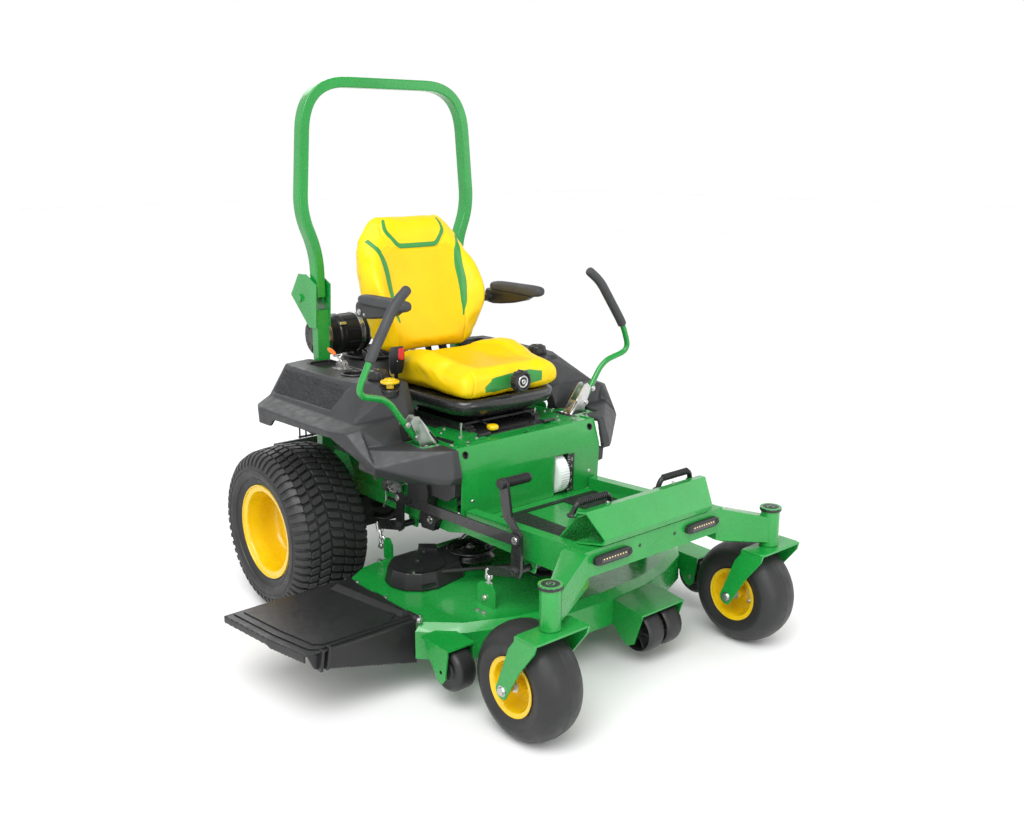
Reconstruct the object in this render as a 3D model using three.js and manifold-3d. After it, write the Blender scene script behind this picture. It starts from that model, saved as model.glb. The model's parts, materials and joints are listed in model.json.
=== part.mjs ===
// Zero turn mower: a seat and twin control levers over a welded frame, two driven wheels behind,
// two swivelling casters in front, and a side-discharge cutting deck hung between them.
// Millimetres. +Z is up, the front faces -Y, and the operator's right is -X (the discharge side).
// Inside the machine group x = 0 is the centre plane, y = 0 the rear axle and z = 0 the ground.
import * as THREE from "three";
import { mergeVertices } from "three/addons/utils/BufferGeometryUtils.js";
import { ConvexGeometry } from "three/addons/geometries/ConvexGeometry.js";
import Module from "manifold-3d";

// ---------------------------------------------------------------- driving dimensions
const WHEELBASE = 1293; // rear axle to caster axle
const CASTER_TRAIL = 87; // caster axle behind its swivel axis
const CASTER_PIVOT_X = 503;
const CASTER_PIVOT_Y = -WHEELBASE - CASTER_TRAIL;
const REAR_TYRE_R = 305; // 24 x 12-12 turf tyre
const REAR_TYRE_HALF = 149;
const REAR_WHEEL_X = 524;
const CASTER_TYRE_R = 178; // 15 x 6-6 smooth tyre
const CASTER_TYRE_HALF = 80;

const RAIL_INNER_X = 265;
const RAIL_OUTER_X = 305;
const RAIL_BOTTOM = 405;
const RAIL_TOP = 461;
const CHANNEL_FRONT_Y = -1324;
const CHANNEL_HALF = 315;
const CHANNEL_BOTTOM = 447;
const CHANNEL_TOP = 529;
const FLOOR_Z = 466; // top of the floor pan
const PANEL_Y = -742; // front panel below its bend
const SEAT_DECK_Z = 707; // underside of the plate under the seat
const SEAT_DECK_T = 6;
const CASTER_TUBE_TOP = 504;

const ROPS_FRONT_Y = 77; // roll bar tube, 50 wide and 38 deep
const ROPS_DEPTH = 38;
const ROPS_WIDTH = 50;
const ROPS_LEG_X = 325;
const ROPS_JOINT_Z = 1092;
const ROPS_TOP_Z = 1905.5;
const FOLD_PIVOT = [178, 1122]; // y, z

const DECK_TOP = 240;
const DECK_BOTTOM = 125;
const DECK_HALF = 645;
const DECK_SKIN = 6;
const SIDE_SPINDLE = [395, -600];
const CENTRE_SPINDLE = [0, -805];
const BLADE_R = 216;
const BLADE_Z = 146;
const ROLLER_R = 70;
const CHUTE_HINGE = [-592, 246]; // x, z
const CHUTE_TIP_X = -1045;

const LEVER_Y = -589; // plane of the control levers
const LEVER_PIVOT_Z = 675; // fore and aft axis, under the seat deck
const PEDAL_X = 345; // plane of the lift linkage, on the operator's right
const PEDAL_PIVOT = [-1053, 395]; // y, z of the front lift shaft
const CRANK_PIVOT = [-425, 376]; // y, z of the rear lift shaft
const LIFT_ARM = 107; // shaft to link pin
const LIFT_SHAFT_R = 12;
const CONSOLE_TOP = 894; // where a fuel cap sits
const THROTTLE_PIVOT = [-118, 915]; // y, z
const GAP = 0.4; // between touching pieces
const SHEET = 5;

// ---------------------------------------------------------------- colours and finishes
const finish = (color, roughness, metalness) => ({ color, roughness, metalness });
const GREEN = finish(0x1b8a2f, 0.3, 0.1);
const YELLOW_RIM = finish(0xf2c500, 0.35, 0.1);
const VINYL = finish(0xffd800, 0.45, 0);
const PLASTIC = finish(0x2b2c2e, 0.65, 0);
const BLACK = finish(0x161617, 0.4, 0.1);
const RUBBER = finish(0x1a1a1b, 0.8, 0);
const ZINC = finish(0xb4b8ba, 0.35, 0.9);
const STEEL = finish(0x8b8f93, 0.4, 0.9);
const WHITE = finish(0xe8ecec, 0.5, 0);
const YELLOW_PLASTIC = finish(0xf7d308, 0.4, 0);
const ORANGE = finish(0xe8741c, 0.5, 0);
const RED = finish(0xc3222c, 0.45, 0);

// ---------------------------------------------------------------- solids
const wasm = await Module();
wasm.setup();

// A closed three.js geometry as a solid that can be joined and cut.
function solid(geometry) {
  const bare = new THREE.BufferGeometry();
  bare.setAttribute("position", geometry.getAttribute("position"));
  if (geometry.index) bare.setIndex(geometry.index);
  const merged = mergeVertices(bare, 1e-4);
  const mesh = new wasm.Mesh({
    numProp: 3,
    vertProperties: merged.attributes.position.array,
    triVerts: new Uint32Array(merged.index.array),
  });
  return new wasm.Manifold(mesh);
}

const join = (...solids) => solids.reduce((all, next) => all.add(next));
const cut = (body, ...tools) => tools.reduce((left, tool) => left.subtract(tool), body);

// A box from its ranges along x, y and z.
function box([x0, x1], [y0, y1], [z0, z1]) {
  const geometry = new THREE.BoxGeometry(x1 - x0, y1 - y0, z1 - z0);
  return solid(geometry.translate((x0 + x1) / 2, (y0 + y1) / 2, (z0 + z1) / 2));
}

// The convex solid round a list of points.
const hull = (points) => solid(new ConvexGeometry(points.map((p) => new THREE.Vector3(...p))));

// A flat outline made thick along an axis: (y, z) points for x, (x, z) for y and (x, y) for z.
function plate(points, axis, from, to) {
  const shape = new THREE.Shape(points.map(([a, b]) => new THREE.Vector2(a, b)));
  const geometry = new THREE.ExtrudeGeometry(shape, { depth: to - from, bevelEnabled: false });
  if (axis === "x") geometry.rotateX(Math.PI / 2).rotateZ(Math.PI / 2).translate(from, 0, 0);
  if (axis === "y") geometry.rotateX(Math.PI / 2).translate(0, to, 0);
  if (axis === "z") geometry.translate(0, 0, from);
  return solid(geometry);
}

// A round bar along an axis, from one end to the other.
function rod(axis, [a, b], r, from, to, sides = 12) {
  const geometry = new THREE.CylinderGeometry(r, r, to - from, sides);
  const middle = (from + to) / 2;
  if (axis === "x") geometry.rotateZ(Math.PI / 2).translate(middle, a, b);
  if (axis === "y") geometry.translate(a, middle, b);
  if (axis === "z") geometry.rotateX(Math.PI / 2).translate(a, b, middle);
  return solid(geometry);
}

// A profile of (radius, position) points turned about a line along x, y or z.
// It starts and ends on the line, or is closed on itself as a ring.
function turned(profile, axis, [x, y, z], sides) {
  const ring = profile[0][0] > 0 ? [...profile, profile[0]] : profile;
  const points = ring.map(([r, a]) => new THREE.Vector2(r, a));
  const geometry = new THREE.LatheGeometry(points, sides);
  if (axis === "x") geometry.rotateZ(-Math.PI / 2);
  if (axis === "z") geometry.rotateX(Math.PI / 2);
  return solid(geometry.translate(x, y, z));
}

// A path with its corners rounded, all to one radius or each to its own.
function rounded(points, radius, steps = 4) {
  const path = [points[0]];
  for (let i = 1; i < points.length - 1; i++) {
    const corner = new THREE.Vector3(...points[i]);
    const into = new THREE.Vector3(...points[i - 1]).sub(corner);
    const out = new THREE.Vector3(...points[i + 1]).sub(corner);
    const wanted = Array.isArray(radius) ? radius[i - 1] : radius;
    const reach = Math.min(wanted, into.length() * 0.45, out.length() * 0.45);
    const bend = new THREE.QuadraticBezierCurve3(
      corner.clone().addScaledVector(into.normalize(), reach),
      corner,
      corner.clone().addScaledVector(out.normalize(), reach),
    );
    for (const p of bend.getPoints(steps)) path.push(p.toArray());
  }
  path.push(points[points.length - 1]);
  return path;
}

// A bar of even width along a plane path, as an outline.
function strip(path, width) {
  const left = [];
  const right = [];
  path.forEach((point, i) => {
    const before = path[Math.max(i - 1, 0)];
    const after = path[Math.min(i + 1, path.length - 1)];
    const along = new THREE.Vector2(after[0] - before[0], after[1] - before[1]).normalize();
    left.push([point[0] - (along.y * width) / 2, point[1] + (along.x * width) / 2]);
    right.push([point[0] + (along.y * width) / 2, point[1] - (along.x * width) / 2]);
  });
  return [...left, ...right.reverse()];
}

// A round tube or bar along a path of points.
function tube(points, radius, steps, sides = 8) {
  const section = new THREE.Shape(
    Array.from({ length: sides }, (_, i) => {
      const turn = (2 * Math.PI * i) / sides;
      return new THREE.Vector2(radius * Math.cos(turn), radius * Math.sin(turn));
    }),
  );
  const path = new THREE.CurvePath();
  for (let i = 1; i < points.length; i++) {
    path.add(new THREE.LineCurve3(new THREE.Vector3(...points[i - 1]), new THREE.Vector3(...points[i])));
  }
  return solid(new THREE.ExtrudeGeometry(section, { steps, extrudePath: path, bevelEnabled: false }));
}

// Points of an arc, from one angle to another in degrees.
function arc([cx, cy], radius, from, to, count) {
  return Array.from({ length: count + 1 }, (_, i) => {
    const turn = THREE.MathUtils.degToRad(from + ((to - from) * i) / count);
    return [cx + radius * Math.cos(turn), cy + radius * Math.sin(turn)];
  });
}

// Two values in rising order, for a range that may be on either side.
const span = (a, b) => (a < b ? [a, b] : [b, a]);

const mirrored = (outline) => outline.map(([x, z]) => [-x, z]).reverse();

// ---------------------------------------------------------------- the machine group
const machine = new THREE.Group();

function add(name, shape, look) {
  const { numProp, vertProperties, triVerts, numVert } = shape.getMesh();
  const position = new Float32Array(numVert * 3);
  for (let i = 0; i < numVert; i++) {
    position.set(vertProperties.subarray(i * numProp, i * numProp + 3), i * 3);
  }
  const geometry = new THREE.BufferGeometry();
  geometry.setAttribute("position", new THREE.BufferAttribute(position, 3));
  geometry.setIndex(new THREE.BufferAttribute(triVerts, 1));
  geometry.computeVertexNormals();
  const mesh = new THREE.Mesh(geometry, new THREE.MeshStandardMaterial(look));
  mesh.name = name;
  machine.add(mesh);
  return mesh;
}

// A piece for the operator's left (+x) and its mirror image for the right.
function addPair(name, shape, look) {
  add(`${name}_left`, shape, look);
  add(`${name}_right`, shape, look).scale.x = -1;
}

// ---------------------------------------------------------------- frame
function mainFrame() {
  const outline = [
    [CHANNEL_FRONT_Y + 88 + GAP, 425],
    [-740, 425],
    [-660, RAIL_BOTTOM],
    [470, RAIL_BOTTOM],
    [470, RAIL_TOP],
    [-700, RAIL_TOP],
    [-700, FLOOR_Z - 4 - GAP],
    [-752, FLOOR_Z - 4 - GAP],
    [-752, 505],
    [CHANNEL_FRONT_Y + 88 + GAP, 526],
  ];
  const rail = (side) => plate(outline, "x", ...span(RAIL_INNER_X * side, RAIL_OUTER_X * side));
  const crossAt = (y0, y1) => box([-RAIL_INNER_X, RAIL_INNER_X], [y0, y1], [410, 456]);
  const wall = (side) => {
    const outer = RAIL_OUTER_X - 2;
    return plate(
      [[-700, 455], [-690, 455], [-80, 455], [-20, 560], [-20, 640], [-80, SEAT_DECK_Z - GAP], [-700, SEAT_DECK_Z - GAP]],
      "x",
      ...span((outer - SHEET) * side, outer * side),
    );
  };
  const saddle = (side) => box(span(side * 300, side * 356), [60, 132], [406, 460]);
  const hanger = (side, [y, z]) => cut(
    plate([[y - 20, z - 16], [y + 20, z - 16], [y + 34, 430], [y - 34, 430]], "x", ...span(side * 280, side * 288)),
    rod("x", [y, z], LIFT_SHAFT_R + 0.6, ...span(side * 276, side * 292), 12),
  );
  const shaftHole = (side) => rod("x", [LEVER_Y, LEVER_PIVOT_Z], 12, ...span(side * 290, side * 310), 12);
  const frame = join(
    rail(1),
    rail(-1),
    crossAt(-1235, -1195),
    crossAt(-745, -700),
    crossAt(-110, -70),
    crossAt(420, 469),
    box([-RAIL_INNER_X, RAIL_INNER_X], [-20, 430], [452, 460]),
    ...[1, -1].flatMap((side) => [
      wall(side),
      saddle(side),
      hanger(side, PEDAL_PIVOT),
      hanger(side, CRANK_PIVOT),
    ]),
  );
  return cut(frame, shaftHole(1), shaftHole(-1));
}

function frontBeam() {
  const rear = CHANNEL_FRONT_Y + 88;
  const channel = plate(
    [
      [CHANNEL_FRONT_Y, CHANNEL_BOTTOM],
      [CHANNEL_FRONT_Y + 8, CHANNEL_BOTTOM],
      [CHANNEL_FRONT_Y + 8, CHANNEL_TOP - 8],
      [rear, CHANNEL_TOP - 8],
      [rear, CHANNEL_TOP],
      [CHANNEL_FRONT_Y, CHANNEL_TOP],
    ],
    "x",
    -CHANNEL_HALF,
    CHANNEL_HALF,
  );
  const parts = [channel];
  for (const side of [-1, 1]) {
    const root = side * (CHANNEL_HALF - 22);
    const shoulder = side * (CHANNEL_HALF + 18);
    const tip = side * (CASTER_PIVOT_X - 12);
    const arm = [];
    for (const [y, z0, z1] of [[CHANNEL_FRONT_Y + 4, 418, CHANNEL_TOP - 2], [rear, 426, CHANNEL_TOP - 2]]) {
      arm.push([root, y, z0], [root, y, z1]);
    }
    for (const [y, z0, z1] of [[CHANNEL_FRONT_Y - 1, 404, 518], [rear - 6, 412, 516]]) {
      arm.push([shoulder, y, z0], [shoulder, y, z1]);
    }
    for (const [y, z0, z1] of [[CASTER_PIVOT_Y - 22, 384, 470], [CASTER_PIVOT_Y + 26, 384, 476]]) {
      arm.push([tip, y, z0], [tip, y, z1]);
    }
    const axis = [side * CASTER_PIVOT_X, CASTER_PIVOT_Y];
    const post = join(
      rod("z", axis, 31, 369, CASTER_TUBE_TOP - 9, 14),
      rod("z", axis, 36, CASTER_TUBE_TOP - 10, CASTER_TUBE_TOP, 14),
    );
    parts.push(cut(join(hull(arm), post), rod("z", axis, 18, 360, 480, 10)));
  }
  return join(...parts);
}

function rearGuard() {
  const hoop = rounded([[-226, 560, 450], [-226, 560, 330], [226, 560, 330], [226, 560, 450]], 40, 3);
  const bar = tube(hoop, 19, 22);
  const foot = (side) => box([side * 285 - 17, side * 285 + 17], [470 + GAP, 562], [RAIL_BOTTOM + 4, RAIL_TOP - 4]);
  const brace = box([-302, 302], [554, 566], [RAIL_BOTTOM + 2, RAIL_TOP - 2]);
  return join(bar, foot(1), foot(-1), brace);
}

function floorPan() {
  const edge = RAIL_INNER_X - 2;
  const low = FLOOR_Z - 4;
  const profile = [
    [PANEL_Y + 30, low],
    [PANEL_Y + 30, FLOOR_Z],
    [-1112, FLOOR_Z],
    [-1226, 600],
    [-1230, 596],
    [-1115, low],
  ];
  return plate(profile, "x", -edge, edge);
}

function footrest() {
  const bend = [
    [-1239, 612],
    [-1250, 628],
    [-1282, 632],
    [CHANNEL_FRONT_Y - 14, 554],
    [CHANNEL_FRONT_Y - 8, CHANNEL_TOP + 6],
    [-1250, CHANNEL_TOP + GAP],
    [-1250, CHANNEL_TOP + GAP + 5],
    [CHANNEL_FRONT_Y - 2, CHANNEL_TOP + 11],
    [CHANNEL_FRONT_Y - 8, 553],
    [-1281, 626],
    [-1252, 622],
    [-1243, 609],
  ];
  const sheet = plate(bend, "x", -280, 280);
  const trimmed = (side) => hull([
    [side * 281, -1360, 500], [side * 281, -1360, 620], [side * 281, -1262, 500], [side * 281, -1262, 650],
    [side * 232, -1360, 500], [side * 240, -1360, 552], [side * 281, -1290, 652],
  ]);
  return cut(sheet, trimmed(1), trimmed(-1));
}

// A ribbed grab handle standing on two feet behind the footrest.
function floorHandle() {
  const y = -1222;
  const bar = rounded([[112, y, 612], [124, y - 4, 646], [252, y - 4, 646], [266, y, 612]], 22, 3);
  return tube(bar, 10, 10, 6);
}

// ---------------------------------------------------------------- body panels
function frontPanel() {
  const sheet = plate(
    [
      [-716, 713],
      [-722, 714],
      [-752, 626],
      [PANEL_Y - 4, 508],
      [PANEL_Y - 4, FLOOR_Z + GAP],
      [PANEL_Y, FLOOR_Z + GAP],
      [PANEL_Y, 508],
      [-748, 625],
      [-719, 706],
      [-716, 706],
    ],
    "x",
    -318,
    318,
  );
  const grip = (side) => rod("y", [side * 287, 688], 11, -760, -700, 12);
  return cut(sheet, grip(1), grip(-1), box([98, 164], [-770, -700], [462, 616]));
}

function seatDeck() {
  const outline = [
    [-318, -715 + GAP],
    [318, -715 + GAP],
    [318, -657],
    [394, -641],
    [394, -545],
    [318, -528],
    [297, -500],
    [297, -84],
    [-297, -84],
    [-297, -500],
    [-318, -528],
    [-394, -545],
    [-394, -641],
    [-318, -657],
  ];
  const deck = plate(outline, "z", SEAT_DECK_Z, SEAT_DECK_Z + SEAT_DECK_T);
  const slot = (side) => {
    return box(span(side * 296, side * 387), [LEVER_Y - 42, LEVER_Y + 42], [690, 720]);
  };
  const ear = (side, x) => {
    return box(span(side * x, side * (x + 5)), [LEVER_Y - 34, LEVER_Y + 34], [655, SEAT_DECK_Z + 1]);
  };
  const ears = [-1, 1].flatMap((side) => [ear(side, 290), ear(side, 388)]);
  const holes = [-1, 1].map((side) =>
    rod("x", [LEVER_Y, LEVER_PIVOT_Z], 8.6, ...span(side * 285, side * 398), 12),
  );
  return cut(join(deck, ...ears), slot(1), slot(-1), ...holes);
}

// Right or left fender with its console, wheel arch and slanted step in front.
function fender() {
  const console = hull([
    [312, -345, CONSOLE_TOP - 1], [455, -345, CONSOLE_TOP - 1], [468, -280, CONSOLE_TOP - 1], [478, 60, 895],
    [473, 108, 896], [366, 126, 897], [312, 62, 897], [556, -470, 784], [562, -160, 787], [568, 40, 790], [548, 104, 787],
    [505, 124, 783], [366, 132, 780], [312, -470, 736], [312, 62, 736], [366, 132, 736], [505, 124, 736],
    [548, -470, 736], [548, 60, 736],
  ]);
  const pedestal = hull([
    [312, -340, CONSOLE_TOP], [312, -446, CONSOLE_TOP], [342, -456, CONSOLE_TOP], [421, -400, CONSOLE_TOP],
    [455, -345, CONSOLE_TOP], [316, -490, 800], [352, -500, 800], [440, -462, 800], [500, -420, 800],
    [556, -470, 784], [312, -470, 736], [548, -470, 736],
  ]);
  const flare = hull([
    [314, -480, 800], [352, -500, 800], [440, -462, 800], [556, -470, 784], [555, -522, 779],
    [314, -524, 722], [346, -528, 722], [420, -541, 722], [492, -560, 722], [534, -540, 724], [556, -480, 700],
    [314, -470, 700],
  ]);
  const lip = hull([
    [556, -470, 785], [568, 40, 791], [620, -440, 766], [624, -410, 765], [626, -300, 763], [626, -160, 761],
    [626, 40, 762], [622, -440, 746], [624, -300, 741], [624, 40, 732], [540, -470, 732], [540, 40, 732],
    [548, 104, 787], [602, 96, 762], [600, 92, 730], [520, 96, 730],
  ]);
  const tail = hull([
    [626, 50, 762], [602, 98, 762], [560, 126, 764], [366, 150, 764], [366, 132, 781], [505, 124, 784],
    [548, 104, 788], [624, 48, 704], [604, 88, 702], [552, 118, 706], [366, 148, 738], [366, 112, 738],
    [500, 80, 712], [604, -30, 706], [624, -30, 706], [604, -60, 736], [624, -60, 736],
  ]);
  const step = hull([
    [324, -744, 714], [348, -742, 717], [372, -722, 717], [407, -680, 717], [478, -620, 717], [517, -587, 717],
    [559, -541, 717], [555, -500, 722], [324, -500, 722], [326, -767, 626], [360, -764, 626], [392, -742, 626],
    [490, -636, 640], [560, -606, 668], [326, -756, 604], [372, -754, 604], [394, -738, 606], [490, -628, 614],
    [546, -580, 632], [556, -500, 640], [324, -500, 604],
  ]);
  const shoulder = hull([
    [559, -541, 717], [555, -522, 778], [556, -470, 785], [600, -500, 767], [620, -440, 766], [622, -440, 746],
    [606, -490, 740], [582, -560, 700], [560, -606, 668], [548, -578, 640], [540, -470, 690], [500, -500, 640],
    [500, -470, 720],
  ]);
  const capSeat = rod("z", [370, -352], 40, 884, CONSOLE_TOP, 18);
  const body = join(console, pedestal, flare, lip, tail, step, shoulder, capSeat);
  // The arch over the tyre, and the hollow under the console and the step.
  const arch = plate(
    [...arc([0, 305], 425, 33, 152, 9), [-480, 500], [-480, 300], [400, 300], [400, 500]],
    "x",
    368,
    612,
  );
  const archTop = plate(
    [...arc([-80, 290], 462, 42, 125, 7), [-300, 400], [300, 400]],
    "x",
    368,
    612,
  );
  const underConsole = hull([
    [320, -510, 716], [470, -520, 716], [324, -480, 796], [436, -452, 796], [326, -430, 882],
    [320, -340, 882], [444, -336, 882], [414, -390, 882], [320, -300, 716], [520, -440, 716],
  ]);
  const underStep = hull([
    [318, -732, 706], [344, -730, 706], [366, -712, 706], [318, -752, 600], [360, -748, 600],
    [384, -732, 600], [482, -620, 606], [545, -540, 706], [530, -560, 636], [318, -480, 706],
    [318, -480, 600], [500, -500, 600],
  ]);
  const leverBay = box([300, 405], [LEVER_Y - 72, LEVER_Y + 68], [640, 800]);
  const ropsWell = box([300, 356], [ROPS_FRONT_Y - 9, 140], [600, 1000]);
  const pto = rod("z", [385, -446], 35, 881.6, 960, 18);
  const cup = turned([[0, 830], [40, 830], [44, 960], [0, 960]], "z", [384, -222, 0], 16);
  const tray = box([318, 412], [-62, 52], [880, 960]);
  return cut(body, arch, archTop, underConsole, underStep, leverBay, ropsWell, cup, tray, pto);
}

function fuelCap() {
  const z = CONSOLE_TOP + GAP;
  return turned([[0, z], [34, z], [38, z + 5], [38, z + 26], [28, z + 34], [0, z + 36]], "z", [370, -352, 0], 18);
}

function ptoKnob() {
  const [x, y, z] = [-385, -446, 882];
  const stem = rod("z", [x, y], 13, z, z + 16, 10);
  const head = turned([[0, z + 14], [28, z + 16], [33, z + 24], [26, z + 33], [0, z + 35]], "z", [x, y, 0], 14);
  return join(stem, head);
}

function throttleLever() {
  const [y, z] = THROTTLE_PIVOT;
  const blade = plate(
    [[y - 9, z - 6], [y + 7, z - 6], [y + 14, z + 8], [y + 76, z + 34], [y + 96, z + 38], [y + 94, z + 48], [y + 68, z + 47], [y - 4, z + 14]],
    "x",
    -372,
    -364,
  );
  return join(blade, rod("x", THROTTLE_PIVOT, 8, -378, -358, 10));
}

function heightDial() {
  return turned([[0, -26], [68, -26], [74, -20], [74, 20], [68, 26], [0, 26]], "x", [130, -700, 541.5], 24);
}

// ---------------------------------------------------------------- roll-over bar
function bracketOutline() {
  return [[63, 1181], [75, 1019], [125, 1015], [252, 1129], [190, 1212], [137, 1214]];
}

function ropsPost() {
  const half = ROPS_WIDTH / 2;
  const rear = ROPS_FRONT_Y + ROPS_DEPTH;
  const x0 = ROPS_LEG_X - half;
  const x1 = ROPS_LEG_X + half;
  const post = box([x0, x1], [ROPS_FRONT_Y, rear], [RAIL_TOP, ROPS_JOINT_Z - 9]);
  const cheek = (from, to) => plate(bracketOutline(), "x", from, to);
  const web = box([x0 - 6, x1 + 6], [ROPS_FRONT_Y + 2, rear - 2], [1022, 1076]);
  const pin = join(
    rod("x", FOLD_PIVOT, 9, x0 - 16, x1 + 16, 12),
    rod("x", FOLD_PIVOT, 15, x0 - 16, x0 - 6, 6),
    rod("x", FOLD_PIVOT, 15, x1 + 6, x1 + 16, 6),
  );
  const stay = box([x0 - 6, x1 + 6], [126, 140], [1034, 1052]);
  return join(post, web, cheek(x0 - 7, x0 - 2), cheek(x1 + 2, x1 + 7), pin, stay);
}

function ropsHoop() {
  const leg = [[ROPS_LEG_X, ROPS_JOINT_Z + 10, 0], [327, 1296, 0], [386, 1443, 0], [351, ROPS_TOP_Z, 0]];
  const corners = [...leg, ...leg.map(([x, z]) => [-x, z, 0]).reverse()];
  const centreLine = rounded(corners, [70, 70, 172, 172, 70, 70], 5).map(([x, z]) => [x, z]);
  const loop = plate(strip(centreLine, ROPS_WIDTH), "y", ROPS_FRONT_Y, ROPS_FRONT_Y + ROPS_DEPTH);
  const lug = (side) => {
    const ears = [];
    for (const [from, to] of [[ROPS_LEG_X - 24, ROPS_LEG_X - 16], [ROPS_LEG_X + 16, ROPS_LEG_X + 24]]) {
      const [a, b] = [side * from, side * to].sort((p, q) => p - q);
      ears.push(
        cut(
          plate([[100, 1104], [160, 1098], [200, 1104], [204, 1140], [150, 1178], [100, 1178]], "x", a, b),
          rod("x", FOLD_PIVOT, 9.6, a - 5, b + 5, 12),
        ),
      );
    }
    return join(...ears);
  };
  return join(loop, lug(1), lug(-1));
}

// ---------------------------------------------------------------- power unit
function engine() {
  const block = box([-150, 150], [30, 390], [RAIL_TOP + GAP, 700]);
  const shroud = turned([[0, 690], [190, 690], [196, 720], [186, 800], [150, 856], [60, 872], [0, 872]], "z", [0, 200, 0], 18);
  const head = (side) => hull([
    [side * 120, 250, 520], [side * 120, 390, 520], [side * 120, 250, 690], [side * 120, 390, 690],
    [side * 232, 330, 540], [side * 232, 440, 540], [side * 232, 330, 670], [side * 232, 440, 670],
  ]);
  return join(block, shroud, head(1), head(-1), muffler());
}

function airCleaner() {
  const canister = turned(
    [[0, -290], [70, -290], [78, -282], [78, -214], [82, -208], [82, -192], [78, -186], [78, -84], [58, -60], [0, -60]],
    "x",
    [0, 208, 962],
    16,
  );
  const elbow = box([-130, -90], [180, 236], [873, 930]);
  return join(canister, elbow);
}

function muffler() {
  const can = turned([[0, -170], [52, -168], [62, -156], [62, 156], [52, 168], [0, 170]], "x", [0, 486, 560], 12);
  const pipe = rod("y", [-120, 580], 17, 380, 486, 10);
  const bracket = box([-40, 40], [380, 490], [500, 530]);
  return join(can, pipe, bracket);
}

function transaxle() {
  const body = hull([
    [120, -86, 262], [120, 70, 262], [286, -86, 262], [286, 70, 262],
    [120, -86, 372], [120, 70, 372], [286, -70, 372], [286, 60, 372],
    [110, -60, 250], [110, 50, 384], [290, -40, 384], [290, -50, 250],
  ]);
  const housing = turned([[0, 270], [62, 270], [58, 330], [46, 400], [46, 470], [0, 470]], "x", [0, 0, REAR_TYRE_R], 12);
  const shaft = rod("x", [0, REAR_TYRE_R], 20, 460, 506, 10);
  const flange = rod("x", [0, REAR_TYRE_R], 66, 504, REAR_WHEEL_X - 4 - GAP, 14);
  const mount = box([200, 280], [-60, 60], [380, RAIL_BOTTOM - GAP]);
  return join(body, housing, shaft, flange, mount);
}

// ---------------------------------------------------------------- seat
function seatPlatform() {
  const top = SEAT_DECK_Z + SEAT_DECK_T + GAP;
  const tray = box([-205, 205], [-655, -190], [top, top + 4]);
  const knuckle = (x) => rod("x", [-660, top + 8], 7, x - 26, x + 26, 10);
  const rail = (x) => box([x - 12, x + 12], [-600, -230], [top + 3, top + 14]);
  return join(tray, knuckle(150), knuckle(-150), rail(150), rail(-150));
}

function seatBase() {
  const low = SEAT_DECK_Z + SEAT_DECK_T + GAP + 14 + GAP;
  const runner = (x) => box([x - 16, x + 16], [-585, -245], [low, low + 8]);
  const bed = box([-166, 166], [-560, -260], [low + 7, low + 15]);
  return join(runner(150), runner(-150), bed);
}

function seatPan() {
  const outline = (inset, rise) => [
    [-170 + inset, -640 + inset, rise],
    [170 - inset, -640 + inset, rise],
    [236 - inset, -570 + inset, rise],
    [240 - inset, -200 - inset, rise],
    [190 - inset, -150 - inset, rise],
    [-190 + inset, -150 - inset, rise],
    [-240 + inset, -200 - inset, rise],
    [-236 + inset, -570 + inset, rise],
  ];
  const shell = hull([...outline(34, 766), ...outline(6, 790), ...outline(0, 808), ...outline(3, 836)]);
  const spine = hull([
    [-60, -150, 790], [60, -150, 790], [-60, -152, 836], [60, -152, 836],
    [-60, -88, 880], [60, -88, 880], [-60, -70, 850], [60, -70, 850],
  ]);
  const upright = hull([
    [-60, -90, 850], [60, -90, 850], [-60, -60, 850], [60, -60, 850],
    [-70, -8, 1120], [70, -8, 1120], [-70, 6, 1116], [70, 6, 1116],
  ]);
  return join(shell, spine, upright);
}

function seatCushion() {
  const ring = (x, front, rear, z) => [
    [-x, front, z], [x, front, z], [x * 1.02, rear, z], [-x * 1.02, rear, z],
  ];
  return hull([
    ...ring(190, -640, -175, 836 + GAP),
    ...ring(238, -600, -190, 862),
    ...ring(205, -655, -178, 868),
    ...ring(214, -600, -182, 924),
    ...ring(232, -590, -240, 950),
    ...ring(160, -648, -230, 952),
  ]);
}

// The backrest leans back; its outline narrows at the shoulders.
function seatBack() {
  const lean = THREE.MathUtils.degToRad(16);
  const outline = [
    [-150, 0], [150, 0], [236, 66], [256, 190], [246, 300], [206, 420], [150, 502], [110, 528],
    [-110, 528], [-150, 502], [-206, 420], [-246, 300], [-256, 190], [-236, 66],
  ];
  const points = [];
  for (const [x, up] of outline) {
    for (const [depth, shrink] of [[0, 0.94], [30, 1], [96, 0.96]]) {
      points.push([
        x * shrink,
        -196 + depth * Math.cos(lean) + up * Math.sin(lean),
        932 + 6 - depth * Math.sin(lean) + up * Math.cos(lean) * (shrink * 0.1 + 0.9),
      ]);
    }
  }
  const behind = hull([
    [-84, -200, 820], [84, -200, 820], [-84, 200, 700], [84, 200, 700],
    [-84, -58, 848], [84, -58, 848], [-84, 22, 1128], [84, 22, 1128],
    [-84, 300, 1128], [84, 300, 1128],
  ]);
  const bolster = (side) => hull(
    [[70, 214], [140, 236], [300, 236], [372, 206]].flatMap(([up, x]) =>
      [[x - 60, 4], [x - 36, -62], [x - 6, -54], [x + 8, 20]].map(([across, depth]) => [
        side * across,
        -196 + depth * Math.cos(lean) + up * Math.sin(lean),
        938 - depth * Math.sin(lean) + up * Math.cos(lean),
      ]),
    ),
  );
  return cut(join(hull(points), bolster(1), bolster(-1)), behind);
}

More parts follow.
